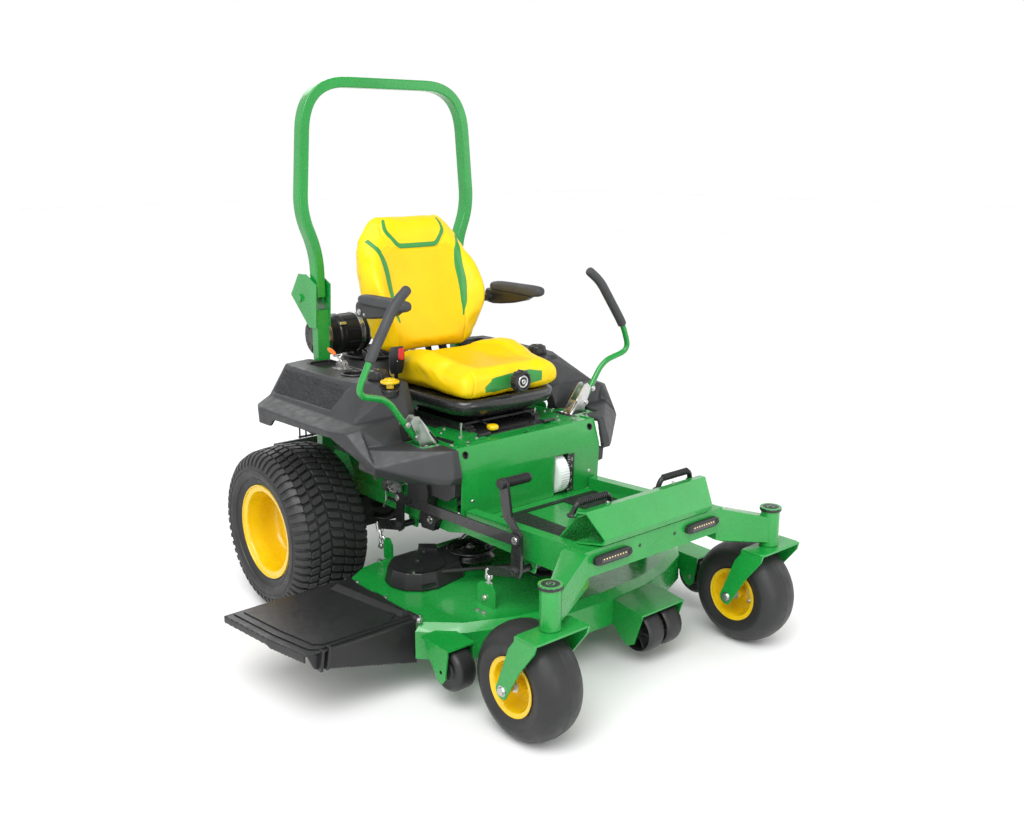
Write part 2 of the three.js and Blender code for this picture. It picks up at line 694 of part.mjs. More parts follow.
function armrest() {
  const pad = hull([
    [262, -452, 1130], [318, -452, 1130], [262, -458, 1150], [318, -458, 1150], [266, -440, 1164], [314, -440, 1164],
    [266, -170, 1162], [314, -170, 1162], [262, -160, 1142], [318, -160, 1142], [268, -390, 1116], [312, -390, 1116],
    [268, -180, 1112], [312, -180, 1112],
  ]);
  const arm = hull([
    [268, -330, 1118], [300, -330, 1118], [268, -140, 1132], [300, -140, 1132],
    [268, -250, 1080], [300, -250, 1080], [268, -140, 1080], [300, -140, 1080],
  ]);
  const pivot = rod("x", [-166, 1104], 17, 262, 308, 14);
  return join(pad, arm, pivot);
}

function suspensionKnob() {
  const shaft = rod("y", [0, 890], 9, -664, -655.6, 10);
  const grip = turned([[0, -686], [24, -686], [30, -680], [31, -668], [26, -662], [0, -662]], "y", [0, 0, 890], 20);
  return join(shaft, grip);
}

function slideLever() {
  const low = SEAT_DECK_Z + SEAT_DECK_T + 2 * GAP + 29 + GAP;
  const stem = box([-112, -96], [-640, -540], [low, low + 5]);
  const tab = hull([
    [-124, -668, 726], [-84, -668, 726], [-124, -668, 748], [-84, -668, 748],
    [-120, -634, 732], [-88, -634, 732], [-120, -634, 750], [-88, -634, 750],
  ]);
  return join(stem, tab);
}

function beltBuckle() {
  const stalk = hull([
    [-262, -300, 830], [-250, -300, 830], [-262, -270, 830], [-250, -270, 830],
    [-276, -330, 900], [-256, -330, 900], [-276, -296, 900], [-256, -296, 900],
  ]);
  const head = hull([
    [-286, -346, 896], [-252, -346, 896], [-286, -288, 896], [-252, -288, 896],
    [-292, -362, 1000], [-262, -362, 1000], [-292, -304, 1000], [-262, -304, 1000],
  ]);
  return join(stalk, head);
}

// ---------------------------------------------------------------- controls
// Zinc bracket that carries a control lever and swings fore and aft under the seat deck.
function leverCarrier() {
  const outline = [[303, 664], [352, 664], [378, 694], [384, 722], [415, 796], [398, 815], [383, 812], [303, 712]];
  const cheek = (y) => plate(outline, "y", y, y + 4);
  const block = box([303, 340], [LEVER_Y - 18, LEVER_Y + 18], [660, 688]);
  const shaft = rod("x", [LEVER_Y, LEVER_PIVOT_Z], 8, 286, 350, 12);
  return join(cheek(LEVER_Y - 18), cheek(LEVER_Y + 14), block, shaft);
}

const LEVER_SWING = [362, 706]; // x, z of the lever's own pivot, along y

function controlLever() {
  const route = rounded(
    [
      [LEVER_SWING[0], LEVER_Y, LEVER_SWING[1]],
      [494, LEVER_Y, 883],
      [620, LEVER_Y - 16, 916],
      [574, LEVER_Y - 24, 1019],
      [562, LEVER_Y - 24, 1040],
    ],
    46,
    4,
  );
  const bar = tube(route, 11, 26, 6);
  const boss = rod("y", LEVER_SWING, 14, LEVER_Y - 12, LEVER_Y + 12, 10);
  const grip = tube(
    rounded([[574, LEVER_Y - 24, 1019], [461, LEVER_Y - 10, 1192], [403, LEVER_Y - 4, 1237]], 40, 3),
    17,
    8,
  );
  return join(bar, boss, grip);
}

// Foot lever that raises the deck: a toe peg over the floor, a link pin above the front lift
// shaft, and on each side an arm that pulls a chain.
function liftPedal() {
  const [y, z] = PEDAL_PIVOT;
  const x = -PEDAL_X - 5;
  const arm = plate(
    [
      [-1016, 670], [-1004, 684], [-984, 684], [-974, 668], [-994, 560], [-1040, 524], [-1036, 480], [y + 22, z + 10],
      [y + 14, z - 18], [y - 14, z - 20], [y - 24, z], [-1082, 486], [-1080, 520], [-1034, 568],
    ],
    "x",
    x,
    x + 10,
  );
  const peg = rod("x", [-995, 668], 12, -PEDAL_X, -238, 10);
  const linkPin = rod("x", [-1061, z + LIFT_ARM], 9, x - 12, x + 2, 8);
  return join(arm, peg, linkPin, liftShaft(PEDAL_PIVOT, 131));
}

// A shaft across the machine with a chain arm at each end.
function liftShaft([y, z], reach) {
  const chainArm = (x0, x1) =>
    plate([[y - 12, z - 16], [y - 14, z + 12], [y + 6, z + 18], [y + reach + 8, z - 24], [y + reach + 12, z - 40], [y + reach - 4, z - 50]], "x", x0, x1);
  return join(
    rod("x", [y, z], LIFT_SHAFT_R, -PEDAL_X, PEDAL_X, 12),
    chainArm(-PEDAL_X - 5, -PEDAL_X + 5),
    chainArm(PEDAL_X - 5, PEDAL_X + 5),
  );
}

// Flat bar that carries the pedal's motion to the rear crank.
function liftLink() {
  const x = -PEDAL_X - 5 - GAP;
  const front = [-1061, PEDAL_PIVOT[1] + LIFT_ARM];
  const rear = [-433, CRANK_PIVOT[1] + LIFT_ARM];
  const bar = plate(
    [
      [front[0] - 18, front[1] - 8], [front[0] - 8, front[1] - 18], [rear[0] + 8, rear[1] - 18], [rear[0] + 18, rear[1] - 8],
      [rear[0] + 18, rear[1] + 8], [rear[0] + 8, rear[1] + 18], [front[0] - 8, front[1] + 18], [front[0] - 18, front[1] + 8],
    ],
    "x",
    x - 8,
    x,
  );
  const hole = ([y, z]) => rod("x", [y, z], 12.5, x - 12, x + 4, 10);
  return cut(bar, hole(front), hole(rear));
}

// Rear crank that the link turns and that lifts the back of the deck.
function liftCrank() {
  const [y, z] = CRANK_PIVOT;
  const x = -PEDAL_X - 5;
  const arm = plate(
    [[y - 22, z - 8], [y, z - 24], [y + 22, z - 4], [y + 10, z + 114], [y - 8, z + 124], [y - 26, z + 110]],
    "x",
    x,
    x + 10,
  );
  const linkPin = rod("x", [-433, z + LIFT_ARM], 9, x - 12, x + 2, 8);
  return join(arm, linkPin, liftShaft(CRANK_PIVOT, 140));
}

// ---------------------------------------------------------------- cutting deck
function deckOutline(inset) {
  const [sx, sy] = SIDE_SPINDLE;
  const r = DECK_HALF - sx - inset;
  const half = [
    [0, -1112 + inset],
    [200, -1100 + inset],
    [340, -1066 + inset],
    [500 - inset * 0.3, -996 + inset],
    [572 - inset, -936 + inset],
    [DECK_HALF - inset, -850],
    ...arc([sx, sy], r, 0, 90, 4),
  ];
  return [...half, ...mirrored(half.slice(1))];
}

function deckShell() {
  const outer = join(
    plate(deckOutline(0), "z", DECK_BOTTOM, DECK_TOP - 24),
    hull([
      ...deckOutline(0).map(([x, y]) => [x, y, DECK_TOP - 24]),
      ...deckOutline(22).map(([x, y]) => [x, y, DECK_TOP]),
    ]),
  );
  const hollow = plate(deckOutline(DECK_SKIN), "z", DECK_BOTTOM - 10, DECK_TOP - 30);
  const mouth = box([-700, CHUTE_HINGE[0] + 6], [-886, -452], [80, 300]);
  const bearingHole = ([x, y]) => rod("z", [x, y], 26, 150, 260, 10);
  const spindles = [SIDE_SPINDLE, [-SIDE_SPINDLE[0], SIDE_SPINDLE[1]], CENTRE_SPINDLE];
  let shell = cut(outer, hollow, mouth, ...spindles.map(bearingHole));
  const hanger = (side, y0, y1, top) => {
    const outline = [[y0, DECK_TOP - 8], [y1, DECK_TOP - 8], [y1, top - 16], [y1 - 16, top], [y0 + 16, top], [y0, top - 20]];
    return plate(outline, "x", ...span(side * 353, side * 361));
  };
  for (const side of [-1, 1]) {
    shell = join(shell, hanger(side, -962, -880, 318), hanger(side, -390, -340, 312));
  }
  return join(shell, rollerBracket(42, 232), sideBracket(1), sideBracket(-1));
}

// Bracket on the nose for the centre rollers.
function rollerBracket(x0, x1) {
  const side = (x) =>
    plate([[-1098, 214], [-1238, 196], [-1240, 186], [-1206, 84], [-1180, 70], [-1166, 74], [-1098, 134]], "x", x, x + 5);
  const y = -1190;
  const roof = hull([
    [x0 - 7, -1098, 208], [x1 + 7, -1098, 208], [x0 - 7, -1098, 214], [x1 + 7, -1098, 214],
    [x0 - 7, -1240, 190], [x1 + 7, -1240, 190], [x0 - 7, -1240, 196], [x1 + 7, -1240, 196],
  ]);
  const axle = rod("x", [y, 116], 8, x0 - 6, x1 + 6, 10);
  return join(roof, side(x0 - 7), side(x1 + 2), axle);
}

// Bracket at a front corner for one roller.
function sideBracket(side) {
  const at = (x) => side * x;
  const cheek = (x) => {
    const outline = [[-946, 222], [-1062, 216], [-1064, 206], [-1050, 118], [-1034, 100], [-1014, 104], [-960, 180]];
    return plate(outline, "x", ...span(at(x), at(x + 5)));
  };
  const roof = hull([
    [at(520), -930, 216], [at(625), -930, 216], [at(520), -930, 222], [at(625), -930, 222],
    [at(520), -1064, 212], [at(625), -1064, 212], [at(520), -1064, 218], [at(625), -1064, 218],
  ]);
  return join(roof, cheek(520), cheek(620), rod("x", [-1030, 138], 8, ...span(at(522), at(623)), 10));
}

const ROLLER_BORE = 8.6;

function sideRoller(side) {
  const half = [[ROLLER_BORE, -38], [54, -38], [ROLLER_R, -26]];
  const profile = [...half, ...half.map(([r, a]) => [r, -a]).reverse()];
  return turned(profile, "x", [side * 572, -1030, 138], 18);
}

// Two rollers side by side on one sleeve.
function centreRoller() {
  const wheel = (x) => [[54, x - 40], [ROLLER_R + 2, x - 28], [ROLLER_R + 2, x + 28], [54, x + 40]];
  const profile = [[ROLLER_BORE, 54], ...wheel(94), ...wheel(180), [ROLLER_BORE, 220]];
  return turned(profile, "x", [0, -1190, 116], 18);
}

function blade([x, y]) {
  const bar = plate([[-BLADE_R, -26], [BLADE_R, -26], [BLADE_R, 26], [-BLADE_R, 26]], "z", BLADE_Z, BLADE_Z + 7);
  const shaft = rod("z", [0, 0], 22, BLADE_Z + 6, 262, 16);
  const pulley = turned([[0, 262], [70, 262], [62, 270], [62, 278], [70, 286], [0, 286]], "z", [0, 0, 0], 20);
  return [join(bar, shaft, pulley), x, y];
}

function beltCover() {
  const rim = [...arc([0, 0], 116, -150, 90, 8), [-60, 118], [-176, 60], [-186, -30], [-130, -88]];
  const outer = hull([
    ...rim.map(([x, y]) => [x, y, DECK_TOP + GAP]),
    ...rim.map(([x, y]) => [x * 0.88, y * 0.88, 300]),
  ]);
  const inner = hull([
    ...rim.map(([x, y]) => [x * 0.96, y * 0.96, DECK_TOP - 5]),
    ...rim.map(([x, y]) => [x * 0.85, y * 0.85, 295]),
  ]);
  const beltWay = box([-260, -120], [-60, 70], [DECK_TOP + 6, 292]);
  return cut(outer, inner, beltWay);
}

function dischargeChute() {
  const [hx, hz] = CHUTE_HINGE;
  const top = [[hx - 12, -458], [CHUTE_TIP_X, -466], [-1020, -700], [-990, -862], [-930, -880], [hx - 12, -880]];
  const roof = plate(top, "z", hz, hz + 6);
  const frontWall = hull([
    [hx - 12, -880, hz + 4], [hx - 12, -874, hz + 4], [-986, -866, hz + 4], [-984, -860, hz + 4],
    [hx - 12, -880, 104], [hx - 12, -874, 104], [-962, -868, 196], [-960, -862, 196],
  ]);
  const lip = (a, b, z) => hull([
    [a[0], a[1], hz + 4], [b[0], b[1], hz + 4], [a[0] + 6, a[1] + 2, hz + 4], [b[0] + 6, b[1] + 2, hz + 4],
    [a[0], a[1], z], [b[0], b[1], z], [a[0] + 6, a[1] + 2, z], [b[0] + 6, b[1] + 2, z],
  ]);
  const rearLip = box([CHUTE_TIP_X + 1, hx - 20], [-468, -462], [hz - 16, hz + 4]);
  const knuckle = (y0, y1) => join(
    rod("y", [hx - 6, hz + 4], 12, y0, y1, 12),
    box([hx - 16, hx - 4], [y0, y1], [hz, hz + 5]),
  );
  return join(
    roof,
    frontWall,
    lip([CHUTE_TIP_X, -466], [-1020, -700], hz - 18),
    lip([-1020, -700], [-990, -862], hz - 24),
    rearLip,
    knuckle(-872, -828),
    knuckle(-680, -640),
    knuckle(-506, -470),
  );
}

// ---------------------------------------------------------------- wheels
function rearTyre(side) {
  const outer = [[154, -121], [177, -122], [216, -REAR_TYRE_HALF], [284, -136], [REAR_TYRE_R, -82]];
  const inner = [[154, 104], [262, 118]];
  const profile = [...outer, ...outer.map(([r, a]) => [r, -a]).reverse(), ...inner, ...inner.map(([r, a]) => [r, -a]).reverse()];
  return turned(profile, "x", [side * REAR_WHEEL_X, 0, REAR_TYRE_R], 26);
}

function rearRim() {
  const dish = [
    [0, -4], [75, -4], [100, 8], [145, 8], [145, -130], [174, -130], [174, -124], [151, -124],
    [151, 124], [174, 124], [174, 130], [145, 130], [145, 14], [100, 14], [75, 2], [0, 2],
  ];
  return turned(dish, "x", [REAR_WHEEL_X, 0, REAR_TYRE_R], 20);
}

function casterTyre(x) {
  const outer = [[80, -66], [92, -67.5], [118, -CASTER_TYRE_HALF], [162, -64], [CASTER_TYRE_R, -24]];
  const inner = [[80, 54], [150, 48]];
  const profile = [...outer, ...outer.map(([r, a]) => [r, -a]).reverse(), ...inner, ...inner.map(([r, a]) => [r, -a]).reverse()];
  return turned(profile, "x", [x, -WHEELBASE, CASTER_TYRE_R], 20);
}

function casterRim(x) {
  const half = [[0, 58], [20, 58], [20, 12], [73, 4], [73, 74.5], [90, 74.5], [90, 69], [78, 69]];
  const dish = [...half, ...half.map(([r, a]) => [r, -a]).reverse()];
  return turned(dish.reverse(), "x", [x, -WHEELBASE, CASTER_TYRE_R], 16);
}

// Bent-plate fork under a swivel post, with its spindle and axle bolt.
function casterFork() {
  const px = CASTER_PIVOT_X;
  const roofLow = CASTER_TYRE_R * 2 + 4;
  const roofTop = roofLow + 8;
  const roof = plate(
    [[px - 88, -1436], [px + 88, -1436], [px + 104, -1420], [px + 104, -1346], [px - 104, -1346], [px - 104, -1420]],
    "z",
    roofLow,
    roofTop,
  );
  const leg = (from, to) => plate(
    [
      [-1436, roofTop - 6], [-1346, roofTop - 6], [-1346, 330], ...arc([-WHEELBASE, CASTER_TYRE_R], 27, 20, -110, 5), [-1436, 320],
    ],
    "x",
    from,
    to,
  );
  const spindle = rod("z", [px, CASTER_PIVOT_Y], 16, roofTop - 2, 474, 14);
  const stub = (from, to) => rod("x", [-WHEELBASE, CASTER_TYRE_R], 12, from, to, 12);
  const nut = (from, to) => rod("x", [-WHEELBASE, CASTER_TYRE_R], 13, from, to, 6);
  return join(
    roof,
    leg(px - 104, px - 96),
    leg(px + 96, px + 104),
    spindle,
    stub(px - 98, px - 58 - GAP),
    stub(px + 58 + GAP, px + 98),
    nut(px - 112, px - 103),
    nut(px + 103, px + 112),
  );
}

// ---------------------------------------------------------------- assembly
add("main_frame", mainFrame(), GREEN);
add("front_beam", frontBeam(), GREEN);
add("rear_guard", rearGuard(), GREEN);
add("floor_pan", floorPan(), GREEN);
add("footrest", footrest(), GREEN);
addPair("floor_handle", floorHandle(), BLACK);
add("front_panel", frontPanel(), GREEN);
add("seat_deck", seatDeck(), GREEN);
addPair("fender", fender(), PLASTIC);
addPair("fuel_cap", fuelCap(), BLACK);
add("pto_knob", ptoKnob(), YELLOW_PLASTIC);
add("throttle_lever", throttleLever(), ORANGE);
add("height_dial", heightDial(), WHITE);
addPair("rops_post", ropsPost(), GREEN);
add("rops_hoop", ropsHoop(), GREEN);
add("engine", engine(), BLACK);
add("air_cleaner", airCleaner(), BLACK);
addPair("transaxle", transaxle(), BLACK);

add("seat_platform", seatPlatform(), BLACK);
add("seat_base", seatBase(), BLACK);
add("seat_pan", seatPan(), BLACK);
add("seat_cushion", seatCushion(), VINYL);
add("seat_back", seatBack(), VINYL);
addPair("armrest", armrest(), PLASTIC);
add("suspension_knob", suspensionKnob(), BLACK);
add("slide_lever", slideLever(), YELLOW_PLASTIC);
add("belt_buckle", beltBuckle(), RED);

addPair("lever_carrier", leverCarrier(), ZINC);
addPair("control_lever", controlLever(), GREEN);
add("lift_pedal", liftPedal(), BLACK);
add("lift_link", liftLink(), BLACK);
add("lift_crank", liftCrank(), BLACK);

add("deck_shell", deckShell(), GREEN);
add("discharge_chute", dischargeChute(), PLASTIC);
add("roller_centre", centreRoller(), RUBBER);
for (const [side, label] of [[1, "left"], [-1, "right"]]) {
  add(`roller_${label}`, sideRoller(side), RUBBER);
}
const spindleAxes = [["left", SIDE_SPINDLE], ["centre", CENTRE_SPINDLE], ["right", [-SIDE_SPINDLE[0], SIDE_SPINDLE[1]]]];
for (const [label, axis] of spindleAxes) {
  const [shape, x, y] = blade(axis);
  add(`blade_${label}`, shape, STEEL).position.set(x, y, 0);
}
const cover = beltCover();
add("belt_cover_left", cover, PLASTIC).position.set(SIDE_SPINDLE[0], SIDE_SPINDLE[1], 0);
const rightCover = add("belt_cover_right", cover, PLASTIC);
rightCover.scale.x = -1;
rightCover.position.set(-SIDE_SPINDLE[0], SIDE_SPINDLE[1], 0);

addPair("caster_fork", casterFork(), GREEN);
addPair("rear_rim", rearRim(), YELLOW_RIM);
for (const [side, label] of [[1, "left"], [-1, "right"]]) {
  add(`rear_tyre_${label}`, rearTyre(side), RUBBER);
  add(`caster_rim_${label}`, casterRim(side * CASTER_PIVOT_X), YELLOW_RIM);
  add(`caster_tyre_${label}`, casterTyre(side * CASTER_PIVOT_X), RUBBER);
}

// The part's origin is on the ground, at the middle of the whole machine's plan box.
const extent = new THREE.Box3().setFromObject(machine, true);
const middle = extent.getCenter(new THREE.Vector3());
machine.position.set(-middle.x, -middle.y, -extent.min.z);
const part = new THREE.Group();
part.add(machine);

export default part;
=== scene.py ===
"""Looks of the zero turn mower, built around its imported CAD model.

Lengths in the lists below are millimetres in the machine's own frame: x 0 is the centre plane, with
+x the operator's left, y 0 is the rear axle, with -y the front, and z 0 is the ground.
"""
import json
import math
import bmesh
import bpy
import numpy as np
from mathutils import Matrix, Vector

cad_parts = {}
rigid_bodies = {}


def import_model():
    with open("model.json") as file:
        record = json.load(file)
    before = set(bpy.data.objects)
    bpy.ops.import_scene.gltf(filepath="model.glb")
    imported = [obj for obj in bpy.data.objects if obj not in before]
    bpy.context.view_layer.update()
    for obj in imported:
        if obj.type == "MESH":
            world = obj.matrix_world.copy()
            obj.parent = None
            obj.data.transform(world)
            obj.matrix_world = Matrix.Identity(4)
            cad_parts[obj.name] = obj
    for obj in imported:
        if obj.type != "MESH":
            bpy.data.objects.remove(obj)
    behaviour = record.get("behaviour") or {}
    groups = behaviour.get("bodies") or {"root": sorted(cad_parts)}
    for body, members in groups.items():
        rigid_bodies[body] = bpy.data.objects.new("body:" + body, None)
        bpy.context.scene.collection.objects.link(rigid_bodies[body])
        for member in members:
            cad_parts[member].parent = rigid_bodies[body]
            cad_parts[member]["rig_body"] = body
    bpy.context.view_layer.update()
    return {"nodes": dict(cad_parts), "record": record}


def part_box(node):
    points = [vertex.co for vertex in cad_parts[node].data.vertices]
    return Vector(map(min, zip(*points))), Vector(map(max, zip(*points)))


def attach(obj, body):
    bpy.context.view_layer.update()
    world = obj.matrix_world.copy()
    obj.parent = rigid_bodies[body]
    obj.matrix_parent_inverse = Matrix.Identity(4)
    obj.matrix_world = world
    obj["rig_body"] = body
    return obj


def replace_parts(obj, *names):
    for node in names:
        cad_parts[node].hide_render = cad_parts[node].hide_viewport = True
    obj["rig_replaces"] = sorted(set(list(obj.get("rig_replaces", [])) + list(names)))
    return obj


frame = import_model()
NODES = frame["nodes"]
RIM_LEFT, RIM_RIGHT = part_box("rear_rim_left"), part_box("rear_rim_right")
ORIGIN = Vector(((RIM_RIGHT[0].x + RIM_LEFT[1].x) / 2, (RIM_LEFT[0].y + RIM_LEFT[1].y) / 2, 0.0))
BODY_OF = {n: o["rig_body"] for n, o in NODES.items()}
SIDES = (("left", 1), ("right", -1))
CAMERA_PLACE, CAMERA_LOOK = (-2370, -3388, 1666), (0.633, 0.736, -0.241)
LENS_MM, SENSOR_MM = 37.44, 36.0
REAR_X, REAR_Z = 524.0, 305.0  # middle of a rear wheel
CASTER_X, CASTER_Y, CASTER_Z = 503.0, -1293.0, 178.0  # middle of a caster wheel
SWIVEL_Y = -1380.0
PITCHES, LUG_HEIGHT, LUG_BASE = 56, 11.5, 3.0  # tread lugs round a rear tyre
KNOB_Z = 890  # suspension knob on the cushion's front
ARM_PIVOT = (-166, 1104)  # y, z
CLEANER = (0, 208, 962)  # a point on the air cleaner's axis, along x
MUFFLER = (486, 560)  # y, z
BLOWER = (0, 200)
LEVER_Y = -589
LIFT_X = 345  # plane of the lift linkage
SPINDLE_X, SPINDLE_Y = 395, -600
CENTRE_Y = -805
SIDE_ROLLER, FRONT_ROLLER = (572, -1030, 138), (-1190, 116)
MAT_Z = 466.6  # top of the floor pan
BEAM_Z = 494  # middle of the light bars


def at(x, y, z):
    return ORIGIN + Vector((x, y, z)) / 1000


# ------------------------------------------------------------------ materials
class Nodes:
    """A material's node tree with its shader."""

    def __init__(self, name):
        self.material = bpy.data.materials.new(name)
        self.material.use_nodes = True
        self.tree = self.material.node_tree
        self.shader = self.tree.nodes["Principled BSDF"]
        self.coords = self.new("ShaderNodeTexCoord").outputs["Object"]

    def new(self, kind, **values):
        node = self.tree.nodes.new(kind)
        for key, value in values.items():
            if hasattr(node, key):
                setattr(node, key, value)
            else:
                node.inputs[key].default_value = value
        return node

    def link(self, a, b):
        self.tree.links.new(a, b)

    def noise(self, scale, detail=3.0, rough=0.55):
        node = self.new("ShaderNodeTexNoise", Scale=scale, Detail=detail, Roughness=rough)
        self.link(self.coords, node.inputs["Vector"])
        return node.outputs["Fac"]

    def voronoi(self, scale):
        node = self.new("ShaderNodeTexVoronoi", Scale=scale)
        self.link(self.coords, node.inputs["Vector"])
        return node.outputs["Distance"]

    def ramp(self, source, low, high, a=0.35, b=0.65):
        node = self.new("ShaderNodeMapRange")
        for key, value in (("From Min", a), ("From Max", b), ("To Min", low), ("To Max", high)):
            node.inputs[key].default_value = value
        self.link(source, node.inputs["Value"])
        return node.outputs["Result"]

    def mix(self, factor, a, b):
        node = self.new("ShaderNodeMix", data_type="RGBA")
        self.link(factor, node.inputs[0])
        for socket, value in ((node.inputs[6], a), (node.inputs[7], b)):
            if isinstance(value, (tuple, list)):
                socket.default_value = (*value[:3], 1)
            else:
                self.link(value, socket)
        return node.outputs[2]

    def bump(self, *layers):
        """Layers of (height, strength, distance in mm), the broadest first."""
        normal = None
        for height, strength, distance in layers:
            node = self.new("ShaderNodeBump", Strength=strength, Distance=distance / 1000)
            self.link(height, node.inputs["Height"])
            if normal is not None:
                self.link(normal, node.inputs["Normal"])
            normal = node.outputs["Normal"]
        self.link(normal, self.shader.inputs["Normal"])


def tone(colour, k):
    return tuple(min(1.0, c * k) for c in colour[:3])


def make_material(name, colour, rough, metal=0.0, spread=0.06, grain=(), coat=0.0, wear_and_edge_highlight=None, rough_spread=0.06,
                  **sockets):
    """Mottled colour, uneven gloss, bump layers, and edges tinted lighter or darker: partly worn edges, partly
    a painted edge highlight.
    """
    n = Nodes(name)
    broad = n.ramp(n.noise(9.0), 0.0, 1.0)
    base = n.mix(broad, tone(colour, 1 - spread), tone(colour, 1 + spread))
    # Convex edges (high pointiness) are tinted toward a lighter colour: worn edges on some materials, a painted
    # edge highlight on others, such as the green paint.
    if wear_and_edge_highlight:
        edge = n.new("ShaderNodeNewGeometry").outputs["Pointiness"]
        base = n.mix(n.ramp(edge, 0.0, wear_and_edge_highlight[1], 0.53, 0.62), base, wear_and_edge_highlight[0])
    n.link(base, n.shader.inputs["Base Color"])
    n.link(n.ramp(n.noise(34.0), max(0.02, rough - rough_spread), rough + rough_spread),
           n.shader.inputs["Roughness"])
    n.shader.inputs["Metallic"].default_value = metal
    n.shader.inputs["Coat Weight"].default_value = coat
    n.shader.inputs["Coat Roughness"].default_value = 0.06
    for key, value in sockets.items():
        n.shader.inputs[key.replace("_", " ")].default_value = value
    layers = []
    for kind, scale, strength, distance in grain:
        height = n.voronoi(scale) if kind == "cells" else n.noise(scale, 4.0)
        layers.append((height, strength, distance))
    if layers:
        n.bump(*layers)
    return n.material


# The lighter green on its convex edges is a painted edge highlight, not wear.
GREEN = make_material("green_paint", (0.007, 0.275, 0.038), 0.26, coat=0.35, spread=0.05,
                      wear_and_edge_highlight=((0.05, 0.42, 0.10), 0.35), grain=(("noise", 260.0, 0.05, 0.4),))
YELLOW_PAINT = make_material("yellow_paint", (0.80, 0.52, 0.003), 0.26, coat=0.3, spread=0.04,
                             grain=(("noise", 240.0, 0.05, 0.4),))
VINYL = make_material("yellow_vinyl", (0.88, 0.60, 0.002), 0.40, coat=0.04, spread=0.035,
                      Specular_IOR_Level=0.3,
                      grain=(("noise", 26.0, 0.10, 2.0), ("cells", 900.0, 0.22, 0.25)))
VINYL_INSERT = make_material("yellow_vinyl_insert", (0.84, 0.53, 0.002), 0.44, spread=0.035,
                             Specular_IOR_Level=0.3,
                             grain=(("noise", 30.0, 0.10, 2.0), ("cells", 760.0, 0.26, 0.3)))
VINYL_GREEN = make_material("green_vinyl", (0.03, 0.26, 0.045), 0.42, spread=0.05,
                            grain=(("cells", 900.0, 0.22, 0.25),))
GREY_PLASTIC = make_material("grey_plastic", (0.030, 0.031, 0.033), 0.50, spread=0.10,
                             wear_and_edge_highlight=((0.085, 0.087, 0.09), 0.5),
                             grain=(("noise", 900.0, 0.35, 0.35), ("noise", 14.0, 0.05, 3.0)))
BLACK_PLASTIC = make_material("black_plastic", (0.012, 0.012, 0.013), 0.36, spread=0.10,
                              wear_and_edge_highlight=((0.05, 0.05, 0.052), 0.4), grain=(("noise", 700.0, 0.18, 0.25),))
BLACK_PAINT = make_material("black_paint", (0.012, 0.012, 0.013), 0.30, coat=0.35, spread=0.08,
                            wear_and_edge_highlight=((0.06, 0.06, 0.062), 0.5), grain=(("noise", 300.0, 0.06, 0.4),))
FOAM = make_material("grey_foam", (0.045, 0.047, 0.050), 0.62, spread=0.10,
                     grain=(("noise", 620.0, 0.30, 0.3), ("noise", 40.0, 0.1, 1.5)))
TYRE = make_material("tyre_rubber", (0.016, 0.016, 0.017), 0.50, spread=0.14, wear_and_edge_highlight=((0.045, 0.045, 0.046), 0.5),
                     grain=(("noise", 60.0, 0.10, 1.0), ("noise", 800.0, 0.16, 0.2)))
RUBBER = make_material("black_rubber", (0.014, 0.014, 0.015), 0.44, spread=0.12,
                       grain=(("noise", 500.0, 0.2, 0.25),))
ZINC = make_material("zinc_plate", (0.60, 0.60, 0.59), 0.34, metal=1.0, spread=0.08, rough_spread=0.12,
                     grain=(("noise", 420.0, 0.12, 0.3),))
CAST = make_material("cast_metal", (0.024, 0.024, 0.026), 0.52, metal=0.3, spread=0.16,
                     wear_and_edge_highlight=((0.10, 0.10, 0.10), 0.45),
                     grain=(("noise", 520.0, 0.35, 0.5),))
WHITE = make_material("white_plastic", (0.80, 0.83, 0.82), 0.34, spread=0.03,
                      grain=(("noise", 90.0, 0.1, 0.8),))
INK_WHITE = make_material("white_ink", (0.78, 0.78, 0.76), 0.5, spread=0.05,
                          grain=(("noise", 300.0, 0.05, 0.1),))
RED = make_material("red_button", (0.62, 0.010, 0.012), 0.30, coat=0.3, spread=0.06,
                    grain=(("noise", 400.0, 0.08, 0.2),))
ORANGE = make_material("orange_tip", (0.85, 0.17, 0.006), 0.34, coat=0.2, spread=0.06,
                       grain=(("noise", 400.0, 0.08, 0.2),))
LED = make_material("led_chip", (0.95, 0.72, 0.25), 0.30, spread=0.05, grain=(("noise", 400.0, 0.05, 0.1),),
                    Emission_Color=(1.0, 0.72, 0.25, 1.0), Emission_Strength=0.35)
LENS = make_material("dark_lens", (0.010, 0.010, 0.012), 0.10, coat=0.8, spread=0.05,
                     grain=(("noise", 200.0, 0.05, 0.3),))
BELT = make_material("belt_rubber", (0.020, 0.020, 0.020), 0.6, spread=0.15,
                     grain=(("noise", 300.0, 0.3, 0.4),))


# ------------------------------------------------------------------ mesh tools
AXES = {"x": (Vector((1, 0, 0)), Vector((0, 1, 0)), Vector((0, 0, 1))),
        "y": (Vector((0, 1, 0)), Vector((0, 0, 1)), Vector((1, 0, 0))),
        "z": (Vector((0, 0, 1)), Vector((1, 0, 0)), Vector((0, 1, 0)))}


def turn(n):
    """Angles of a full turn in n steps."""
    return [2 * math.pi * k / n for k in range(n)]


def span(a, b):
    """Two numbers, the smaller one first."""
    return min(a, b), max(a, b)


def circle(centre, u, v, radius, n):
    """Points on a circle in the plane of u and v."""
    return [centre + (u * math.cos(q) + v * math.sin(q)) * radius for q in turn(n)]


